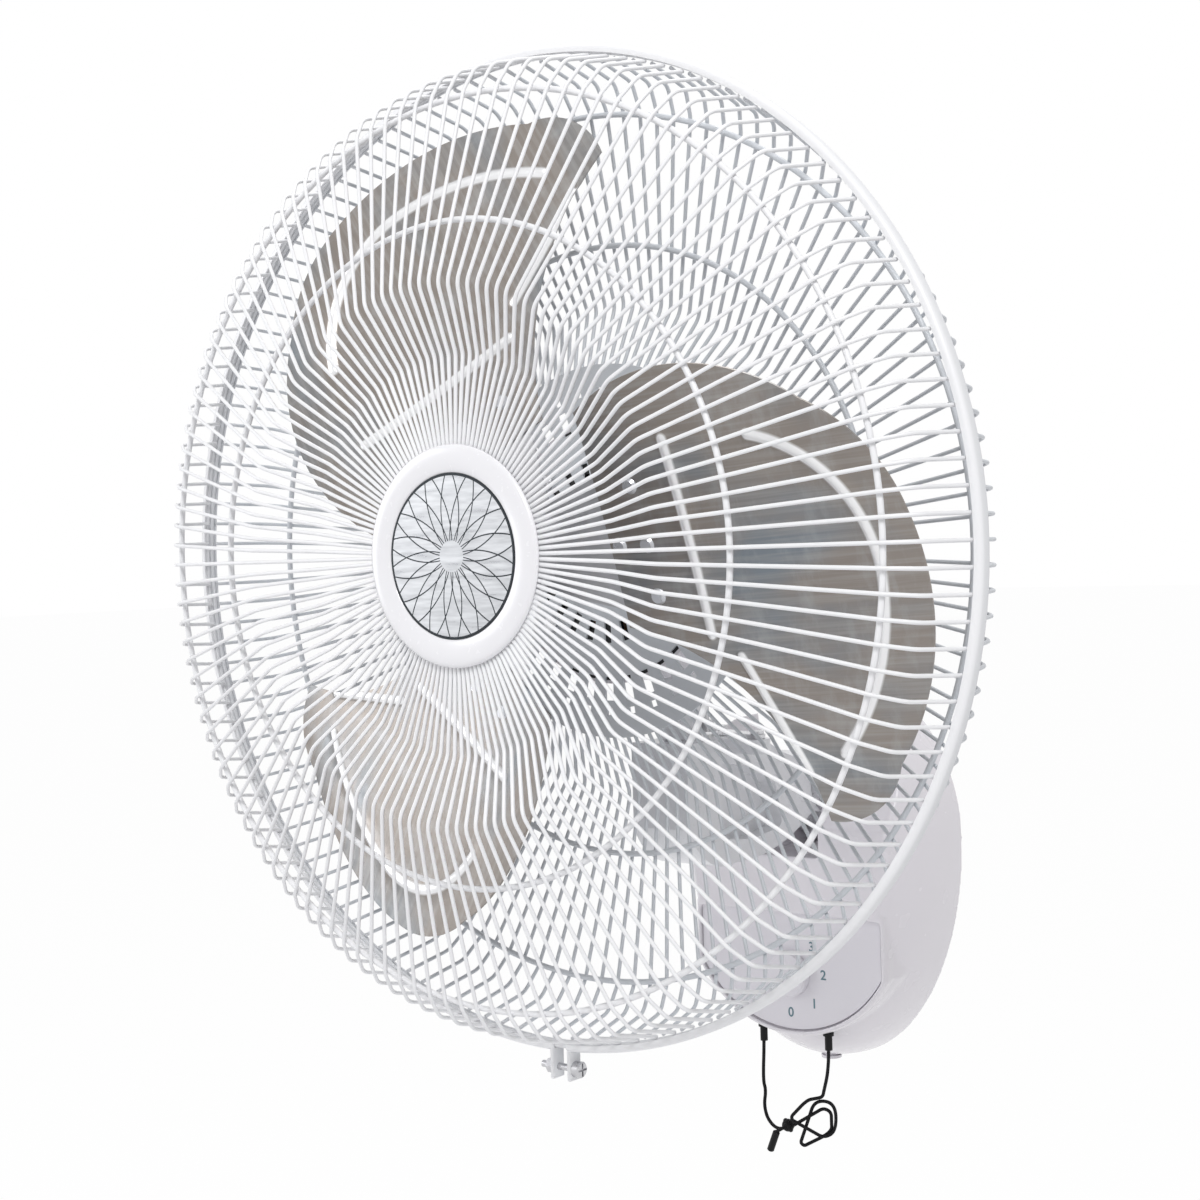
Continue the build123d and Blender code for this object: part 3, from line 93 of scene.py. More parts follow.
# ---------------------------------------------------------------- materials
class Shader:
    """A node material: a Principled shader with textures in object or sheet space."""

    def __init__(self, name, color, rough, metallic=0.0, coat=0.0, coat_rough=0.1):
        """New material with even values on its Principled shader."""
        self.material = bpy.data.materials.new(name)
        self.material.use_nodes = True
        self.tree = self.material.node_tree
        self.surface = self.tree.nodes["Principled BSDF"]
        self.surface.inputs["Base Color"].default_value = (*color, 1)
        self.surface.inputs["Roughness"].default_value = rough
        self.surface.inputs["Metallic"].default_value = metallic
        self.surface.inputs["Coat Weight"].default_value = coat
        self.surface.inputs["Coat Roughness"].default_value = coat_rough
        self.last_bump = None

    def node(self, kind, values=(), **settings):
        """New node with its settings, and its inputs given as values or sockets."""
        made = self.tree.nodes.new(kind)
        for key, value in settings.items():
            setattr(made, key, value)
        for key, value in dict(values).items():
            if isinstance(value, bpy.types.NodeSocket):
                self.tree.links.new(value, made.inputs[key])
            else:
                made.inputs[key].default_value = value
        return made

    def space(self, scale=(1, 1, 1), uv=False):
        """Texture coordinates of the object or the sheet, stretched."""
        source = self.node("ShaderNodeTexCoord")
        start = source.outputs["UV" if uv else "Object"]
        return self.node("ShaderNodeMapping", {"Vector": start, "Scale": scale}).outputs["Vector"]

    def noise(self, scale, detail=3.0, vector=None, rough=0.5):
        """Noise value from 0 to 1."""
        vector = vector or self.space()
        values = {"Vector": vector, "Scale": scale, "Detail": detail, "Roughness": rough}
        return self.node("ShaderNodeTexNoise", values).outputs["Fac"]

    def math(self, operation, a, b=0.0):
        """One math step."""
        return self.node("ShaderNodeMath", {0: a, 1: b}, operation=operation).outputs[0]

    def spread(self, value, low, high, start=0.0, end=1.0):
        """Value mapped to a range."""
        values = {"Value": value, "From Min": start, "From Max": end, "To Min": low, "To Max": high}
        return self.node("ShaderNodeMapRange", values).outputs["Result"]

    def blend(self, value, first, second):
        """Colour between two, by a value; each is a colour or a socket."""
        mix = self.tree.nodes.new("ShaderNodeMix")
        mix.data_type = "RGBA"
        self.tree.links.new(value, mix.inputs[0])
        for socket, color in ((mix.inputs[6], first), (mix.inputs[7], second)):
            if isinstance(color, bpy.types.NodeSocket):
                self.tree.links.new(color, socket)
            else:
                socket.default_value = (*color, 1)
        return mix.outputs[2]

    def color(self, socket):
        """Gives the surface a colour that varies."""
        self.tree.links.new(socket, self.surface.inputs["Base Color"])

    def rough(self, socket):
        """Gives the surface a roughness that varies."""
        self.tree.links.new(socket, self.surface.inputs["Roughness"])

    def bump(self, height, depth, strength=1.0):
        """Adds a bump of a depth in metres over the ones before it."""
        values = {"Height": height, "Distance": depth, "Strength": strength}
        if self.last_bump:
            values["Normal"] = self.last_bump
        made = self.node("ShaderNodeBump", values)
        self.last_bump = made.outputs["Normal"]
        self.tree.links.new(self.last_bump, self.surface.inputs["Normal"])


def scaled(color, factor):
    """Colour made darker or lighter, no channel over 1."""
    return tuple(min(c * factor, 1.0) for c in color)


def painted(name, color, rough, grain=900.0, depth=0.00006, coat=0.4, vary=0.07):
    """Powder coat or gloss paint: slight orange peel, faint shade changes."""
    shader = Shader(name, color, rough, coat=coat, coat_rough=0.12)
    cloud = shader.noise(scale=9.0, detail=4.0)
    shader.color(shader.blend(cloud, scaled(color, 0.955), scaled(color, 1.03)))
    fine = shader.noise(scale=grain, detail=2.0)
    shader.rough(shader.spread(fine, rough - vary, rough + vary, start=0.3, end=0.7))
    shader.bump(fine, depth, strength=0.5)
    return shader.material


# painted shade: the wires towards the back of the cage are coloured darker, fading in over this
# much of its depth
PAINTED_SHADE_FROM = RIM_Y - 4.0
PAINTED_SHADE_TO = RIM_Y + 14.0


def guard_paint(name, front, rear, rough):
    """Powder coat of the cage, with painted shade: the wires to the rear of the rim are coloured
    darker, as less light falls on them.
    """
    shader = Shader(name, front, rough)
    y = shader.node("ShaderNodeSeparateXYZ", {"Vector": shader.space()}).outputs["Y"]
    # painted shade: share of the darker colour, rising towards the back of the cage
    painted_shade_share = shader.spread(y, 0.0, 1.0, start=PAINTED_SHADE_FROM * MM, end=PAINTED_SHADE_TO * MM)
    cloud = shader.noise(scale=9.0, detail=4.0)
    patches = shader.spread(cloud, 0.0, 0.12, start=0.3, end=0.7)
    shader.color(shader.blend(patches, shader.blend(painted_shade_share, front, rear), scaled(rear, 0.9)))
    fine = shader.noise(scale=900.0, detail=2.0)
    shader.rough(shader.spread(fine, rough - 0.07, rough + 0.07, start=0.3, end=0.7))
    shader.bump(fine, 0.00006, strength=0.5)
    return shader.material


def plastic(name, color, rough, texture=2500.0, depth=0.00004):
    """Moulded plastic with a fine texture."""
    shader = Shader(name, color, rough)
    cloud = shader.noise(scale=14.0, detail=3.0)
    shader.color(shader.blend(cloud, scaled(color, 0.96), scaled(color, 1.03)))
    fine = shader.noise(scale=texture, detail=3.0)
    shader.rough(shader.spread(fine, rough - 0.04, rough + 0.08, start=0.3, end=0.7))
    shader.bump(fine, depth, strength=0.6)
    return shader.material


def metal(name, color, rough, streak=(1, 1, 1), scale=120.0, depth=0.00003):
    """Bare metal with machining or rolling marks and duller patches."""
    shader = Shader(name, color, rough, metallic=1.0)
    patches = shader.noise(scale=35.0, detail=5.0)
    shader.color(shader.blend(patches, scaled(color, 0.82), scaled(color, 1.1)))
    marks = shader.noise(scale=scale, detail=5.0, vector=shader.space(streak))
    shader.rough(shader.spread(marks, rough - 0.1, rough + 0.14, start=0.3, end=0.7))
    shader.bump(marks, depth, strength=0.6)
    return shader.material


SHEET_WARM = (0.315, 0.283, 0.258)
SHEET_COOL = (0.25, 0.28, 0.31)
SHEET_GLINT = (0.5, 0.52, 0.54)
SHEET_STREAK = (0.52, 0.51, 0.5)
BEAD_PAINTED_HIGHLIGHT = (0.95, 0.95, 0.96)


def blade_sheet(name):
    """Satin aluminium sheet: rolling streaks, warm and cool patches, a painted highlight along the
    beads' crests.
    """
    shader = Shader(name, (0.32, 0.31, 0.3), 0.36, metallic=1.0)
    along = shader.space((7.0, 300.0, 1.0), uv=True)
    streaks = shader.noise(scale=1.0, detail=6.0, vector=along, rough=0.6)
    mottled = shader.space((60.0, 22.0, 1.0), uv=True)
    glints = shader.noise(scale=1.0, detail=5.0, vector=mottled, rough=0.65)
    clouds = shader.noise(scale=9.0, detail=4.0, vector=shader.space((1.0, 2.2, 1.0), uv=True))
    tone = shader.blend(shader.spread(clouds, 0, 1, start=0.47, end=0.68), SHEET_WARM, SHEET_COOL)
    tone = shader.blend(shader.spread(glints, 0, 0.5, start=0.5, end=0.8), tone, SHEET_GLINT)
    tone = shader.blend(shader.spread(streaks, 0, 0.5, start=0.45, end=0.75), tone, SHEET_STREAK)
    # painted highlight: the pressed beads' crests are coloured near white where they would catch
    # the light
    crest = shader.node("ShaderNodeAttribute", attribute_name="crest").outputs["Fac"]
    shader.color(shader.blend(shader.spread(crest, 0, 1, start=0.12, end=0.5), tone, BEAD_PAINTED_HIGHLIGHT))
    shader.rough(shader.spread(streaks, 0.3, 0.46, start=0.3, end=0.7))
    shader.bump(streaks, 0.00004, strength=0.5)
    return shader.material


def cord_braid(name):
    """Black braided cord: fine crossing strands."""
    shader = Shader(name, (0.01, 0.01, 0.011), 0.62)
    shader.surface.inputs["Specular IOR Level"].default_value = 0.15
    strands = shader.node("ShaderNodeTexVoronoi", {"Vector": shader.space(), "Scale": 1700.0})
    cells = strands.outputs["Distance"]
    shader.color(shader.blend(cells, (0.016, 0.016, 0.018), (0.004, 0.004, 0.005)))
    shader.rough(shader.spread(cells, 0.45, 0.75))
    shader.bump(cells, 0.0002, strength=0.8)
    return shader.material


# print on the badge, in metres: spiral arcs, the line round the rim, the bare middle
ARC_PAIRS = 9.0
ARC_TWIST = 95.0  # radians an arc turns in a metre of radius
ARC_WIDTH = 0.0042
ARC_THINNING = 0.006
RIM_LINE_R = 0.0432
BARE_R = 0.0085


def badge_disc(name):
    """Silver disc printed with two families of thin dark spiral arcs and a rim line."""
    shader = Shader(name, (0.55, 0.56, 0.58), 0.3, metallic=0.85)
    parts = shader.node("ShaderNodeSeparateXYZ", {"Vector": shader.space()})
    x = parts.outputs["X"]
    z = shader.math("SUBTRACT", parts.outputs["Z"], AXIS_Z * MM)
    angle = shader.math("ARCTAN2", z, x)
    square = shader.math("ADD", shader.math("MULTIPLY", x, x), shader.math("MULTIPLY", z, z))
    radius = shader.math("SQRT", square)
    width = shader.math("DIVIDE", ARC_WIDTH, shader.math("ADD", radius, ARC_THINNING))
    arcs = []
    for twist in (ARC_TWIST, -ARC_TWIST):
        turned = shader.math("MULTIPLY", radius, twist)
        phase = shader.math("ADD", shader.math("MULTIPLY", angle, ARC_PAIRS), turned)
        line = shader.math("ABSOLUTE", shader.math("SINE", phase))
        arcs.append(shader.math("LESS_THAN", line, width))
    ink = shader.math("MAXIMUM", *arcs)
    printed = shader.math("SUBTRACT", 1.0, shader.math("LESS_THAN", radius, BARE_R))
    rim = shader.math("GREATER_THAN", radius, RIM_LINE_R)
    ink = shader.math("MAXIMUM", shader.math("MULTIPLY", ink, printed), rim)
    sheen = shader.noise(scale=60.0, detail=4.0, vector=shader.space((1.0, 1.0, 8.0)))
    brushed = shader.spread(sheen, 0, 1, start=0.3, end=0.7)
    ground = shader.blend(brushed, (0.44, 0.45, 0.47), (0.6, 0.61, 0.63))
    shader.color(shader.blend(ink, ground, (0.035, 0.04, 0.045)))
    shader.rough(shader.spread(sheen, 0.26, 0.42, start=0.3, end=0.7))
    shader.bump(ink, 0.00003, strength=0.4)
    return shader.material


def laminated(name):
    """Stacked steel sheets, dark, with fine lines across the axis."""
    shader = Shader(name, (0.3, 0.3, 0.32), 0.45, metallic=1.0)
    sheets = shader.noise(scale=1.0, detail=2.0, vector=shader.space((30.0, 2200.0, 30.0)))
    shader.color(shader.blend(sheets, (0.2, 0.2, 0.21), (0.42, 0.42, 0.44)))
    shader.bump(sheets, 0.0001, strength=0.7)
    return shader.material


def windings(name):
    """Enamelled copper wire in turns."""
    shader = Shader(name, (0.55, 0.22, 0.1), 0.35, metallic=0.7, coat=0.5)
    turns = shader.noise(scale=1.0, detail=3.0, vector=shader.space((900.0, 60.0, 900.0)))
    shader.color(shader.blend(turns, (0.3, 0.1, 0.04), (0.72, 0.32, 0.15)))
    shader.bump(turns, 0.0004, strength=0.8)
    return shader.material


# the second colour is painted shade for the rear guard's wires
GUARD_WHITE = guard_paint("guard_white", (0.87, 0.87, 0.885), (0.64, 0.665, 0.7), 0.36)
CAP_WHITE = painted("cap_white", (0.83, 0.825, 0.85), 0.22, grain=300.0, depth=0.00003, coat=0.5)
HOUSING_WHITE = painted(
    "housing_white", (0.78, 0.755, 0.795), 0.26, grain=60.0, depth=0.000004, coat=0.35, vary=0.02
)
PANEL_WHITE = plastic("panel_white", (0.76, 0.74, 0.785), 0.34)
MOTOR_WHITE = painted(
    "motor_white", (0.76, 0.765, 0.79), 0.34, grain=450.0, depth=0.00015, coat=0.2
)
BLADE_METAL = blade_sheet("blade_metal")
RIVET_METAL = metal("rivet_metal", (0.66, 0.67, 0.7), 0.3)
HUB_METAL = metal("hub_metal", (0.6, 0.6, 0.62), 0.42, depth=0.0001)
ZINC = metal("zinc", (0.62, 0.62, 0.64), 0.3, scale=260.0)
STEEL = metal("steel", (0.5, 0.5, 0.52), 0.28, streak=(1, 14, 1), scale=90.0)
LAMINATIONS = laminated("laminations")
COPPER = windings("copper")
BRONZE = metal("bronze", (0.55, 0.38, 0.2), 0.5, scale=900.0, depth=0.0001)
BADGE_SILVER = badge_disc("badge_silver")
BLACK_PLASTIC = plastic("black_plastic", (0.008, 0.008, 0.009), 0.45)
BLACK_PLASTIC.node_tree.nodes["Principled BSDF"].inputs["Specular IOR Level"].default_value = 0.2
# painted shade: near-black colour standing in for the shade inside the motor, seen through the
# plate's slots
PAINTED_SHADE_BLACK = painted(
    "painted_shade_black", (0.02, 0.02, 0.021), 0.4, grain=450.0, depth=0.0001, coat=0.0
)
GREY_PLASTIC = plastic("grey_plastic", (0.42, 0.43, 0.44), 0.42)
CORD_BLACK = cord_braid("cord_black")
PRINT_INK = plastic("print_ink", (0.11, 0.2, 0.24), 0.5)

# finish of each CAD node that shows as it is; the other nodes have a piece that replaces them
FINISHES = (
    (ZINC, (
        "wall_bracket", "bracket_screws", "arm_bracket", "base_screws", "tilt_bolt", "tilt_nut",
        "link_pin", "swing_link", "swing_motor", "cover_screws", "guard_screws", "band_bolt",
        "band_nut", "hub_nut",
    )),
    (STEEL, ("thrust_washer", "swing_pin", "swing_crank", "shaft")),
    (BRONZE, ("swing_bush", "front_bearing", "rear_bearing")),
    (LAMINATIONS, ("stator_core", "rotor_core")),
    (COPPER, ("stator_windings",)),
    (MOTOR_WHITE, ("neck", "yoke")),
    (HOUSING_WHITE, ("motor_cover",)),
    (PANEL_WHITE, ("control_panel", "speed_dial")),
    (GUARD_WHITE, ("rear_guard_plate", "hub_plate")),
    (BADGE_SILVER, ("badge",)),
    (HUB_METAL, ("blade_hub",)),
    (RIVET_METAL, ("blade_rivets",)),
    (BLACK_PLASTIC, ("speed_switch", "swing_switch", "capacitor", "cord_nozzles", "cord_end")),
    (GREY_PLASTIC, ("terminal_block",)),
    (CORD_BLACK, ("cord_knot",)),
)
for finish, node_names in FINISHES:
    for node_name in node_names:
        slots = NODES[node_name].data.materials
        slots.clear()
        slots.append(finish)


# ---------------------------------------------------------------- helpers
def in_fan(r, z, angle):
    """Point at a radius, a height forward of the rim plane and an angle, in metres."""
    return Vector((r * math.cos(angle), RIM_Y - z, AXIS_Z + r * math.sin(angle))) * MM


def add_object(name, data, finish, body, slot_name, *replaced):
    """Puts a new piece in the scene on its body."""
    piece = bpy.data.objects.new(name, data)
    bpy.context.scene.collection.objects.link(piece)
    data.materials.append(finish)
    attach(piece, body)
    if replaced:
        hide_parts(*replaced)
    return piece


def smooth_mesh(name, mesh_data):
    """Mesh from a bmesh, smooth shaded."""
    mesh_made = bpy.data.meshes.new(name)
    mesh_data.to_mesh(mesh_made)
    mesh_data.free()
    for face in mesh_made.polygons:
        face.use_smooth = True
    return mesh_made


def bent(points, radius, steps=5, most=0.45):
    """Line with its inner corners rounded; a bend takes no more than a share of a run."""
    path = [points[0]]
    for before, here, after in zip(points, points[1:], points[2:]):
        a = Vector(before) - Vector(here)
        b = Vector(after) - Vector(here)
        back = radius * math.tan((math.pi - a.angle(b)) / 2)
        back = min(back, most * a.length, most * b.length)
        start = Vector(here) + a.normalized() * back
        end = Vector(here) + b.normalized() * back
        for i in range(steps + 1):
            t = i / steps
            spot = (1 - t) ** 2 * start + 2 * t * (1 - t) * Vector(here) + t**2 * end
            path.append(tuple(spot))
    path.append(points[-1])
    return path


def wire_curve(name, paths, radius, cyclic=False):
    """Round wires along lists of points."""
    curve = bpy.data.curves.new(name, "CURVE")
    curve.dimensions = "3D"
    curve.bevel_depth = radius * MM
    curve.bevel_resolution = 2
    curve.use_fill_caps = True
    for path in paths:
        spline = curve.splines.new("POLY")
        spline.points.add(len(path) - 1)
        spline.points.foreach_set("co", [c for p in path for c in (*p, 1.0)])
        spline.use_cyclic_u = cyclic
        spline.use_smooth = True
    return curve


def lathe(profile, steps, first=0.0, last=2 * math.pi):
    """Mesh turned about the fan axis from a closed profile of (radius, height) points."""
    whole = last - first > 2 * math.pi - 1e-6
    made = bmesh.new()
    rows = []
    for i in range(steps if whole else steps + 1):
        angle = first + (last - first) * i / steps
        rows.append([made.verts.new(in_fan(r, z, angle)) for r, z in profile])
    pairs = list(zip(rows, rows[1:]))
    if whole:
        pairs.append((rows[-1], rows[0]))
    count = len(profile)
    for low, high in pairs:
        for i in range(count):
            j = (i + 1) % count
            made.faces.new((low[i], low[j], high[j], high[i]))
    if not whole:
        made.faces.new(rows[0][::-1])
        made.faces.new(rows[-1])
    bmesh.ops.remove_doubles(made, verts=made.verts, dist=1e-7)
    bmesh.ops.recalc_face_normals(made, faces=made.faces)
    return made


def crisp(piece, angle):
    """Keeps edges sharper than an angle crisp under smooth shading."""
    made = bmesh.new()
    made.from_mesh(piece.data)
    for edge in made.edges:
        if len(edge.link_faces) == 2 and edge.calc_face_angle(0) > math.radians(angle):
            edge.smooth = False
    made.to_mesh(piece.data)
    made.free()


def repainted(node, finish, body, slot_name):
    """A CAD node's own shape in another slot's finish."""
    mesh = NODES[node].data.copy()
    mesh.materials.clear()
    return add_object(node + "_painted", mesh, finish, body, slot_name, node)


# painted shade: the front shield is coloured near black so the slots of the plate in front of it
# look dark
repainted("motor_front_shield", PAINTED_SHADE_BLACK, "head", "black_plastic")
repainted("cord_grommet", HOUSING_WHITE, "base", "housing_white")

# ---------------------------------------------------------------- guards
WIRE_BEND = 12.0
RING_STEPS = 240
RING_GAP = 0.1  # between the two guards' outer rings and the band's middle


def guard_wires(name, start, side):
    """Round wires of a guard; side is 1 for the front one and -1 for the rear one."""
    line = ((start, GUARD_HUB_H), PLATE_EDGE, CREST, SHOULDER, CORNER, WIRE_END)
    profile = bent([(r, BAND_Z + side * h) for r, h in line], WIRE_BEND)
    paths = []
    for n in range(WIRE_COUNT):
        angle = 2 * math.pi * n / WIRE_COUNT
        paths.append([in_fan(r, z, angle) for r, z in profile])
    curve = wire_curve(name, paths, WIRE / 2)
    add_object(name + "_round", curve, GUARD_WHITE, "head", "guard_white", name)


def guard_rings(name, side):
    """Round rings of a guard: two inside its wires, and one round their ends."""
    slope = math.atan2(SHOULDER[1] - CREST[1], SHOULDER[0] - CREST[0])
    seat = (WIRE + RING) / 2
    circles = []
    for radius in RING_RADII:
        height = CREST[1] + (radius - CREST[0]) * math.tan(slope)
        r = radius + seat * math.sin(slope)
        z = BAND_Z + side * (height - seat * math.cos(slope))
        circles.append((r, z))
    circles.append((WIRE_END[0] + (WIRE + RING) / 2, BAND_Z + side * (RING / 2 + RING_GAP)))
    turns = [2 * math.pi * i / RING_STEPS for i in range(RING_STEPS)]
    paths = [[in_fan(r, z, turn) for turn in turns] for r, z in circles]
    curve = wire_curve(name, paths, RING / 2, cyclic=True)
    add_object(name + "_round", curve, GUARD_WHITE, "head", "guard_white", name)


guard_wires("front_guard_wires", FRONT_WIRE_START, 1)
guard_wires("rear_guard_wires", REAR_WIRE_START, -1)
guard_rings("front_guard_rings", 1)
guard_rings("rear_guard_rings", -1)

# ---------------------------------------------------------------- guard band and centre cap
BAND_HALF = 5.0
BAND_WALL = 1.5
BAND_SHOULDER = 3.0
BAND_STEPS = 300
FLANGE_R = BAND_R - 4.4
FLANGE_TIP = 1.3
FLANGE_ROOT = 1.6
EARS = ((3.0, 5.5), (15.0, 17.5))  # sides of the ears, from the middle of the foot
EAR_TOP_Z = -48.6
EAR_FOOT_Z = -66.0
EAR_EDGE = 0.9

# radius and height of the cap's section, from its back to its face
CAP_PROFILE = (
    (0, 66.25), (59.4, 66.25), (59.8, 66.6), (60, 67.2), (59.8, 68.0), (59.2, 68.7), (58.2, 69.2),
    (56.8, 69.5), (55, 69.65), (52.5, 69.65), (50, 69.5), (48, 69.3), (46.4, 69.0), (45.4, 68.6),
    (44.9, 68.2), (44.7, 67.8), (44.7, 67.55), (0, 67.55),
)
CAP_STEPS = 160


def block(made, low, high, edge):
    """Adds a block with rounded edges, corners in millimetres."""
    cube = bmesh.ops.create_cube(made, size=1.0)["verts"]
    middle = (Vector(low) + Vector(high)) / 2
    for vert in cube:
        vert.co = Vector(middle[i] + vert.co[i] * (high[i] - low[i]) for i in range(3)) * MM
    edges = list({e for v in cube for e in v.link_edges})
    bmesh.ops.bevel(made, geom=edges, offset=edge * MM, segments=3, affect="EDGES", profile=0.5)


def make_band():
    """Rolled channel with rounded shoulders, cut at the foot, its ends turned down as ears."""
    half, bend = BAND_HALF, BAND_SHOULDER
    quarter = [math.radians(a) for a in range(0, 91, 15)]
    profile = [(FLANGE_R, -half)]
    profile += [
        (BAND_R - bend + bend * math.sin(a), -half + bend - bend * math.cos(a)) for a in quarter
    ]
    profile += [
        (BAND_R - bend + bend * math.cos(a), half - bend + bend * math.sin(a)) for a in quarter
    ]
    profile += [(FLANGE_R, half), (FLANGE_R, half - FLANGE_TIP)]
    profile += [(BAND_R - BAND_WALL, half - FLANGE_ROOT), (BAND_R - BAND_WALL, FLANGE_ROOT - half)]
    profile += [(FLANGE_R, FLANGE_TIP - half)]
    first = math.asin(EARS[1][0] / BAND_R) - math.pi / 2
    last = math.asin(EARS[0][1] / BAND_R) + 1.5 * math.pi
    made = lathe([(r, z + BAND_Z) for r, z in profile], BAND_STEPS, first, last)
    middle = RIM_Y - BAND_Z
    for low, high in EARS:
        block(
            made, (low, middle - half, EAR_FOOT_Z), (high, middle + half, EAR_TOP_Z), EAR_EDGE
        )
    mesh = smooth_mesh("guard_band_rolled", made)
    piece = add_object(
        "guard_band_rolled", mesh, GUARD_WHITE, "head", "guard_white", "guard_band"
    )
    crisp(piece, 40.0)


def make_cap():
    """Centre cap with a softly crowned rim round the badge."""
    mesh = smooth_mesh("hub_cap_crowned", lathe(CAP_PROFILE, CAP_STEPS))
    piece = add_object("hub_cap_crowned", mesh, CAP_WHITE, "head", "cap_white", "hub_cap")
    crisp(piece, 50.0)


make_band()
make_cap()

# ---------------------------------------------------------------- blades
BLADE_TURN = 3.3  # first blade's place round the axis, degrees
BLADE_Z = 7.0
BLADE_PITCH = 17.2
BLADE = 1.2
CAMBER = 900.0  # radius of the sheet's curve
BEAD = 1.5  # height of a pressed bead
BEAD_FLANK = 1.2
BEAD_CROWN = 0.8
SHEET_SHIFT = 0.37  # metres; each blade is cut from another place in the rolled sheet

# A blade's edge in its own plane, clockwise from the foot of the root: each corner, a point on
# the arc to the next corner or None for a straight run, and the number of steps between them.
BLADE_CORNERS = (
    ((60, -47), None, 30),
    ((62, 75), (132, 92), 36),
    ((200, 64), (228, 38), 20),
    ((243, 3), (246, -48), 34),
    ((212, -128), (195, -151), 14),
    ((166, -157), (129, -88), 38),
)

# points of a blade's mesh: rows beside each bead, then a staggered grid
BEAD_ROWS = (0.0, 1.0, 2.0, 3.0, 4.2)
ROW_GAP = 0.7
GRID_FROM = (60, -160)
GRID_STEP = (6, 5.2)
GRID_COUNT = (32, 50)
GRID_GAP = 3.2
CELL = 6  # side of the search cells, wider than any gap


def arc_through(first, middle, last, steps):
    """Points on the circle through three points, without the last."""
    ax, ay = first
    bx, by = middle
    cx, cy = last
    d = 2 * (ax * (by - cy) + bx * (cy - ay) + cx * (ay - by))
    a2, b2, c2 = ax**2 + ay**2, bx**2 + by**2, cx**2 + cy**2
    ux = (a2 * (by - cy) + b2 * (cy - ay) + c2 * (ay - by)) / d
    uy = (a2 * (cx - bx) + b2 * (ax - cx) + c2 * (bx - ax)) / d
    radius = math.hypot(ax - ux, ay - uy)
    a0 = math.atan2(ay - uy, ax - ux)
    a1 = math.atan2(cy - uy, cx - ux)
    am = math.atan2(by - uy, bx - ux)
    sweep = (a1 - a0) % (2 * math.pi)
    if (am - a0) % (2 * math.pi) > sweep:
        sweep -= 2 * math.pi
    angles = [a0 + sweep * i / steps for i in range(steps)]
    return [(ux + radius * math.cos(a), uy + radius * math.sin(a)) for a in angles]


def straight(first, last, steps):
    """Points on a straight run, with the last."""
    return [
        (first[0] + (last[0] - first[0]) * i / steps, first[1] + (last[1] - first[1]) * i / steps)
        for i in range(steps + 1)
    ]


def blade_edge():
    """Closed outline of a blade in its own plane."""
    line = []
    for i, (corner, middle, steps) in enumerate(BLADE_CORNERS):
        after = BLADE_CORNERS[(i + 1) % len(BLADE_CORNERS)][0]
        if middle:
            line += arc_through(corner, middle, after, steps)
        else:
            line += straight(corner, after, steps)[:-1]
    return line


# middle line and half width of each pressed bead
BEADS = (
    (straight((113, -54), (113, 54), 54), 3.0),
    (
        arc_through((165, 50), (209, 18), (222, -27), 42)
        + arc_through((222, -27), (212, -73), (181, -121), 50)
        + [(181, -121)],
        3.0,
    ),
    (straight((129, -67), (158, -131), 36), 2.4),
)


def bead_height(q, w):
    """Height of the pressed beads over the plain sheet."""
    top = 0.0
    for line, half in BEADS:
        near = min((q - a) ** 2 + (w - b) ** 2 for a, b in line)
        if near < (half + BEAD_FLANK) ** 2:
            t = math.sqrt(near) / (half + BEAD_FLANK)
            top = max(top, BEAD * (0.5 + 0.5 * math.cos(math.pi * t)) ** BEAD_CROWN)
    return top


def inside(point, outline):
    """Whether a point lies in a closed outline."""
    x, y = point
    odd = False
    for (ax, ay), (bx, by) in zip(outline, outline[1:] + outline[:1]):
        if (ay > y) != (by > y) and x < (bx - ax) * (y - ay) / (by - ay) + ax:
            odd = not odd
    return odd


def bead_rows(line):
    """Mesh points beside a bead's middle line and round its two ends."""
    rows = []
    for offset in BEAD_ROWS:
        for side in ((1,) if offset == 0 else (1, -1)):
            for i, (a, b) in enumerate(line):
                p = line[max(i - 1, 0)]
                n = line[min(i + 1, len(line) - 1)]
                length = math.hypot(n[0] - p[0], n[1] - p[1])
                rows.append((
                    a - side * offset * (n[1] - p[1]) / length,
                    b + side * offset * (n[0] - p[0]) / length,
                ))
    for end, before in ((line[0], line[1]), (line[-1], line[-2])):
        away = math.atan2(end[1] - before[1], end[0] - before[0])
        for offset in BEAD_ROWS[1:]:
            for i in range(1, 8):
                a = away - math.pi / 2 + math.pi * i / 8
                rows.append((end[0] + offset * math.cos(a), end[1] + offset * math.sin(a)))
    return rows


def blade_points():
    """Outline, and all of a blade's mesh points: outline, bead rows and a grid, well apart."""
    outline = blade_edge()
    points = list(outline)
    rows = [point for line, _ in BEADS for point in bead_rows(line)]
    (x, y), (wide, tall), (columns, lines) = GRID_FROM, GRID_STEP, GRID_COUNT
    grid = [
        (x + wide * i + wide / 2 * (j % 2), y + tall * j)
        for i in range(columns)
        for j in range(lines)
    ]
    cells = {}

    def free(point, gap):
        """Keeps a point if no kept one is within the gap."""
        column, row = int(point[0] // CELL), int(point[1] // CELL)
        for i in (-1, 0, 1):
            for j in (-1, 0, 1):
                for other in cells.get((column + i, row + j), ()):
                    if math.hypot(point[0] - other[0], point[1] - other[1]) < gap:
                        return False
        cells.setdefault((column, row), []).append(point)
        return True

    for point in outline:
        free(point, 0.0)
    for some, gap in ((rows, ROW_GAP), (grid, GRID_GAP)):
        points += [point for point in some if inside(point, outline) and free(point, gap)]
    return outline, points


def blade_directions(number):
    """Directions out along a blade, across it, and out of its front face."""
    turn = math.radians(BLADE_TURN + 120 * number)
    pitch = math.radians(BLADE_PITCH)
    out = Vector((math.cos(turn), 0, math.sin(turn)))
    across = Vector((
        -math.sin(turn) * math.cos(pitch), -math.sin(pitch), math.cos(turn) * math.cos(pitch)
    ))
    normal = out.cross(across)
    return out, across, -normal if normal.y > 0 else normal


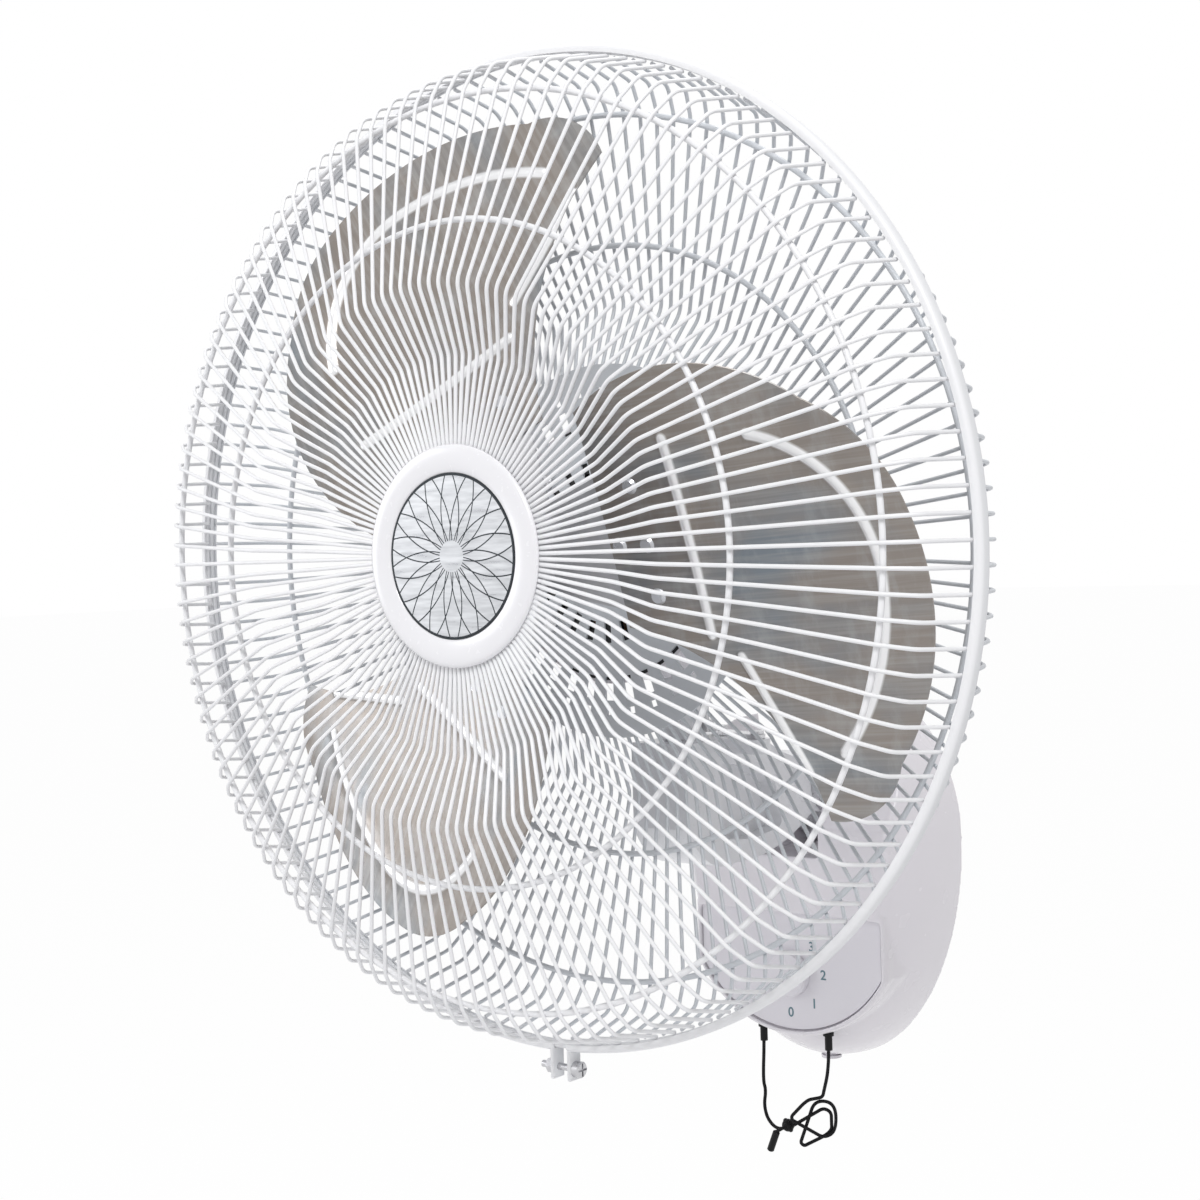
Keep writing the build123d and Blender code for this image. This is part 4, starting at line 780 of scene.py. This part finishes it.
def make_blades():
    """Three curved sheets with pressed beads; a bead's height is kept as the crest attribute."""
    outline, points = blade_points()
    ring = [(i, (i + 1) % len(outline)) for i in range(len(outline))]
    flat, _, faces, _, _, _ = delaunay_2d_cdt([Vector(p) for p in points], ring, [], 1, 1e-4)
    heights = [bead_height(p.x, p.y) for p in flat]
    base = Vector((0, RIM_Y - BLADE_Z, AXIS_Z))
    for number in range(3):
        out, across, normal = blade_directions(number)
        made = bmesh.new()
        layer = made.loops.layers.uv.new("sheet")
        crest = made.verts.layers.float.new("crest")
        sides = []
        for level in (BLADE / 2, -BLADE / 2):
            side = []
            for p, bead in zip(flat, heights):
                lean = p.y / CAMBER
                radius = CAMBER - level - bead
                spot = base + out * p.x + across * (math.sin(lean) * radius)
                spot += normal * (CAMBER - math.cos(lean) * radius)
                side.append(made.verts.new(spot * MM))
            sides.append(side)
        where = {v: p for side in sides for v, p in zip(side, flat)}
        for vert, bead in zip(sides[0], heights):
            vert[crest] = bead / BEAD
        front, back = sides
        for face in faces:
            made.faces.new([front[i] for i in face])
            made.faces.new([back[i] for i in reversed(face)])
        for a, b in ring:
            made.faces.new((front[a], back[a], back[b], front[b]))
        bmesh.ops.recalc_face_normals(made, faces=made.faces)
        for face in made.faces:
            for loop in face.loops:
                p = where[loop.vert]
                loop[layer].uv = (p.x * MM, p.y * MM + number * SHEET_SHIFT)
        name = f"blade_{number + 1}"
        mesh = smooth_mesh(name + "_sheet", made)
        piece = add_object(name + "_sheet", mesh, BLADE_METAL, "rotor", "blade_metal", name)
        crisp(piece, 50.0)


make_blades()

# ---------------------------------------------------------------- base housing
# depth, then how far the outline draws in at the sides, the bottom and the top
HOUSING_STEPS = (
    (0.0, 0.0, 0.0, 0.0),
    (40.0, 3.0, 9.0, 4.0),
    (60.0, 9.0, 24.0, 12.0),
    (72.0, 18.0, 40.0, 26.0),
)
SIDES, BOTTOM, TOP = 1, 2, 3  # columns of the steps
START_SLOPE = 0.4  # slopes of the flowing curve at its ends, as shares of the straight runs'
END_SLOPE = 1.5
HOUSING_MID_Z = 33.0
HOUSING_HALF = 94.0
HOUSING_UP = 111.0
HOUSING_DOWN = 155.0
VOXEL = 1.0
WALL_FROM = 0.82  # the shell starts to move at this share of the way out
WALL_FADE = 0.12
SMOOTH_PASSES = 7


def flowing(depth, column):
    """Draw-in at a depth on a smooth curve through the steps."""
    knots = [(step[0], step[column]) for step in HOUSING_STEPS]
    slopes = [(b[1] - a[1]) / (b[0] - a[0]) for a, b in zip(knots, knots[1:])]
    tangents = [slopes[0] * START_SLOPE]
    tangents += [(a + b) / 2 for a, b in zip(slopes, slopes[1:])]
    tangents.append(slopes[-1] * END_SLOPE)
    for i in range(3):
        (d0, v0), (d1, v1) = knots[i], knots[i + 1]
        if depth <= d1 or i == 2:
            span = d1 - d0
            t = min(max((depth - d0) / span, 0.0), 1.0)
            return (
                (2 * t**3 - 3 * t**2 + 1) * v0 + (t**3 - 2 * t**2 + t) * span * tangents[i]
                + (3 * t**2 - 2 * t**3) * v1 + (t**3 - t**2) * span * tangents[i + 1]
            )


def straight_steps(depth, column):
    """Draw-in at a depth on straight runs between the steps."""
    for a, b in zip(HOUSING_STEPS, HOUSING_STEPS[1:]):
        if depth <= b[0]:
            t = max((depth - a[0]) / (b[0] - a[0]), 0.0)
            return a[column] + t * (b[column] - a[column])
    return HOUSING_STEPS[-1][column]


def make_housing():
    """The housing's solid with its facets flowed into one curve and its edges rounded."""
    mesh = NODES["base_housing"].data.copy()
    mesh.name = "base_housing_soft"
    piece = add_object(
        "base_housing_soft", mesh, HOUSING_WHITE, "base", "housing_white", "base_housing"
    )
    remesh = piece.modifiers.new("even", "REMESH")
    remesh.mode = "VOXEL"
    remesh.voxel_size = VOXEL * MM
    bpy.context.view_layer.update()
    evaluated = piece.evaluated_get(bpy.context.evaluated_depsgraph_get())
    shaped = bpy.data.meshes.new_from_object(evaluated)
    piece.modifiers.clear()
    piece.data = shaped
    made = bmesh.new()
    made.from_mesh(shaped)
    for vert in made.verts:
        depth = -vert.co.y / MM
        x = vert.co.x / MM
        z = vert.co.z / MM - HOUSING_MID_Z
        column, reach = (TOP, HOUSING_UP) if z > 0 else (BOTTOM, HOUSING_DOWN)
        wide = HOUSING_HALF - straight_steps(depth, SIDES)
        tall = reach - straight_steps(depth, column)
        away = math.hypot(x / wide, z / tall)
        share = min(max((away - WALL_FROM) / WALL_FADE, 0.0), 1.0)
        share = share * share * (3 - 2 * share)
        wide_new = HOUSING_HALF - flowing(depth, SIDES)
        tall_new = reach - flowing(depth, column)
        vert.co.x = x * (1 + share * (wide_new / wide - 1)) * MM
        vert.co.z = (z * (1 + share * (tall_new / tall - 1)) + HOUSING_MID_Z) * MM
    for _ in range(SMOOTH_PASSES):
        bmesh.ops.smooth_vert(
            made, verts=made.verts, factor=0.5, use_axis_x=True, use_axis_y=True, use_axis_z=True
        )
    made.to_mesh(shaped)
    made.free()
    for face in shaped.polygons:
        face.use_smooth = True
    shaped.materials.clear()
    shaped.materials.append(HOUSING_WHITE)


make_housing()

# ---------------------------------------------------------------- pull cords
# control points from inside each nozzle to the knot
SPEED_ROUTE = (
    (25.5, -64.5, -86.0), (25.5, -64.5, -105.0), (24.3, -64.8, -120.0), (19.8, -63.0, -132.4),
    (18.2, -62.3, -137.0), (14.5, -65.5, -137.7), (10.1, -69.0, -138.5), (3.3, -74.5, -147.2),
    (1.9, -75.6, -149.0), (2.1, -75.4, -151.5), (3.7, -74.0, -152.8), (12.1, -66.8, -159.7),
    (18.1, -61.5, -164.7), (24.2, -55.9, -160.2), (23.8, -55.5, -141.6), (13.0, -63.9, -139.2),
    (9.4, -66.9, -152.3), (5.9, -69.7, -164.6), (5.1, -70.4, -167.6), (6.8, -68.8, -169.8),
    (9.0, -66.9, -168.5), (21.0, -56.5, -161.5), (20.9, -56.4, -154.0), (20.9, -56.3, -148.1),
    (16.9, -59.4, -145.1), (12.9, -62.8, -147.9), (1.3, -72.4, -155.9),
)
SWING_ROUTE = (
    (-25.5, -64.5, -86.0), (-25.5, -64.5, -105.0), (-27.1, -65.0, -131.5), (-24.6, -65.5, -137.7),
    (-25.9, -66.5, -147.9), (-21.7, -68.5, -156.9), (-12.5, -70.5, -161.7), (-8.6, -69.9, -159.9),
)


def hanging_cord(name, route):
    """Cord along a smooth spline with the route's points as its control points."""
    curve = bpy.data.curves.new(name, "CURVE")
    curve.dimensions = "3D"
    curve.bevel_depth = CORD_R * MM
    curve.bevel_resolution = 4
    curve.resolution_u = 10
    curve.use_fill_caps = True
    spline = curve.splines.new("NURBS")
    spline.points.add(len(route) - 1)
    for point, place in zip(spline.points, route):
        point.co = (*(Vector(place) * MM), 1.0)
    spline.order_u = 3
    spline.use_endpoint_u = True
    return curve


speed = add_object(
    "speed_pull_cord", hanging_cord("speed_pull_cord", SPEED_ROUTE), CORD_BLACK,
    "speed_pull", "cord_black", "speed_cord", "cord_bundle",
)
swing = add_object(
    "swing_pull_cord", hanging_cord("swing_pull_cord", SWING_ROUTE), CORD_BLACK,
    "swing_pull", "cord_black", "swing_cord",
)

# ---------------------------------------------------------------- dial numbers
DIAL_Z = -55.0
PANEL_FRONT = -69.5
NUMBER_RADIUS = 26.0
NUMBERS = (("0", 270), ("1", 315), ("2", 3), ("3", 48))  # each with its angle round the dial
TEXT_SIZE = 0.009  # size, boldness and thickness in metres
TEXT_BOLD = 0.00012
INK = 0.00006
INK_LIFT = 0.05  # millimetres from the panel's face to the print's middle


def dial_number(digit, degrees):
    """A printed number on the panel beside the dial."""
    text = bpy.data.curves.new("number_" + digit, "FONT")
    text.body = digit
    text.size = TEXT_SIZE
    text.offset = TEXT_BOLD
    text.extrude = INK
    text.align_x = "CENTER"
    text.align_y = "CENTER"
    piece = add_object("number_" + digit, text, PRINT_INK, "base", "black_plastic")
    angle = math.radians(degrees)
    x = NUMBER_RADIUS * math.cos(angle)
    z = DIAL_Z + NUMBER_RADIUS * math.sin(angle)
    place = Vector((x, PANEL_FRONT - INK_LIFT, z)) * MM
    piece.matrix_world = Matrix.Translation(place) @ Matrix.Rotation(math.pi / 2, 4, "X")


for digit, degrees in NUMBERS:
    dial_number(digit, degrees)

# ---------------------------------------------------------------- floor and light, in metres
FLOOR_Z = -0.62
FLOOR_HALF = 30.0
FLOOR_WHITE = 0.975  # how far the camera sees the floor as plain white
WORLD_LIGHT = 0.4
WORLD_SEEN = 0.6  # added where the camera and reflections look
CENTRE = (0.0, -0.3, 0.23)


def make_floor():
    """Large white floor; the camera and reflections see it nearly as plain white."""
    made = bmesh.new()
    bmesh.ops.create_grid(made, x_segments=2, y_segments=2, size=FLOOR_HALF)
    mesh = bpy.data.meshes.new("floor")
    made.to_mesh(mesh)
    made.free()
    floor = bpy.data.objects.new("floor", mesh)
    floor.location = (0, 0, FLOOR_Z)
    bpy.context.scene.collection.objects.link(floor)
    material = bpy.data.materials.new("floor_white")
    material.use_nodes = True
    tree = material.node_tree
    surface = tree.nodes["Principled BSDF"]
    surface.inputs["Base Color"].default_value = (0.92, 0.92, 0.93, 1)
    surface.inputs["Roughness"].default_value = 0.9
    glow = tree.nodes.new("ShaderNodeEmission")
    glow.inputs["Color"].default_value = (1, 1, 1, 1)
    glow.inputs["Strength"].default_value = 1.0
    mix = tree.nodes.new("ShaderNodeMixShader")
    seen = direct_rays(tree, FLOOR_WHITE)
    tree.links.new(seen, mix.inputs[0])
    tree.links.new(surface.outputs[0], mix.inputs[1])
    tree.links.new(glow.outputs[0], mix.inputs[2])
    tree.links.new(mix.outputs[0], tree.nodes["Material Output"].inputs["Surface"])
    mesh.materials.append(material)


def direct_rays(tree, most):
    """Value that is `most` for camera, glossy and transmission rays, and 0 for the others."""
    path = tree.nodes.new("ShaderNodeLightPath")
    total = None
    for ray in ("Is Camera Ray", "Is Glossy Ray", "Is Transmission Ray"):
        if total is None:
            total = path.outputs[ray]
            continue
        step = tree.nodes.new("ShaderNodeMath")
        step.operation = "MAXIMUM"
        tree.links.new(total, step.inputs[0])
        tree.links.new(path.outputs[ray], step.inputs[1])
        total = step.outputs[0]
    scale = tree.nodes.new("ShaderNodeMath")
    scale.operation = "MULTIPLY"
    tree.links.new(total, scale.inputs[0])
    scale.inputs[1].default_value = most
    return scale.outputs[0]


def make_world():
    """White all round: bright to the camera and reflections, dimmer as light."""
    world = bpy.data.worlds.new("studio")
    world.use_nodes = True
    bpy.context.scene.world = world
    tree = world.node_tree
    back = tree.nodes["Background"]
    back.inputs["Color"].default_value = (1, 1, 1, 1)
    strength = tree.nodes.new("ShaderNodeMath")
    strength.operation = "ADD"
    strength.inputs[1].default_value = WORLD_LIGHT
    tree.links.new(direct_rays(tree, WORLD_SEEN), strength.inputs[0])
    tree.links.new(strength.outputs[0], back.inputs["Strength"])


def lamp(name, place, size, watts, color=(1, 1, 1)):
    """Round area lamp aimed at the fan."""
    data = bpy.data.lights.new(name, "AREA")
    data.shape = "DISK"
    data.size = size
    data.energy = watts
    data.color = color
    light = bpy.data.objects.new(name, data)
    ahead = Vector(CENTRE) - Vector(place)
    light.rotation_mode = "QUATERNION"
    light.rotation_quaternion = ahead.to_track_quat("-Z", "Y")
    light.location = place
    bpy.context.scene.collection.objects.link(light)


make_floor()
make_world()
lamp("key", (1.7, -2.3, 2.5), size=1.4, watts=72.0)
lamp("fill", (-2.4, -1.6, 0.8), size=1.8, watts=22.0, color=(0.97, 0.98, 1.0))
lamp("top", (-0.4, 0.6, 2.6), size=1.6, watts=22.0)

bpy.context.scene.view_settings.view_transform = "Standard"
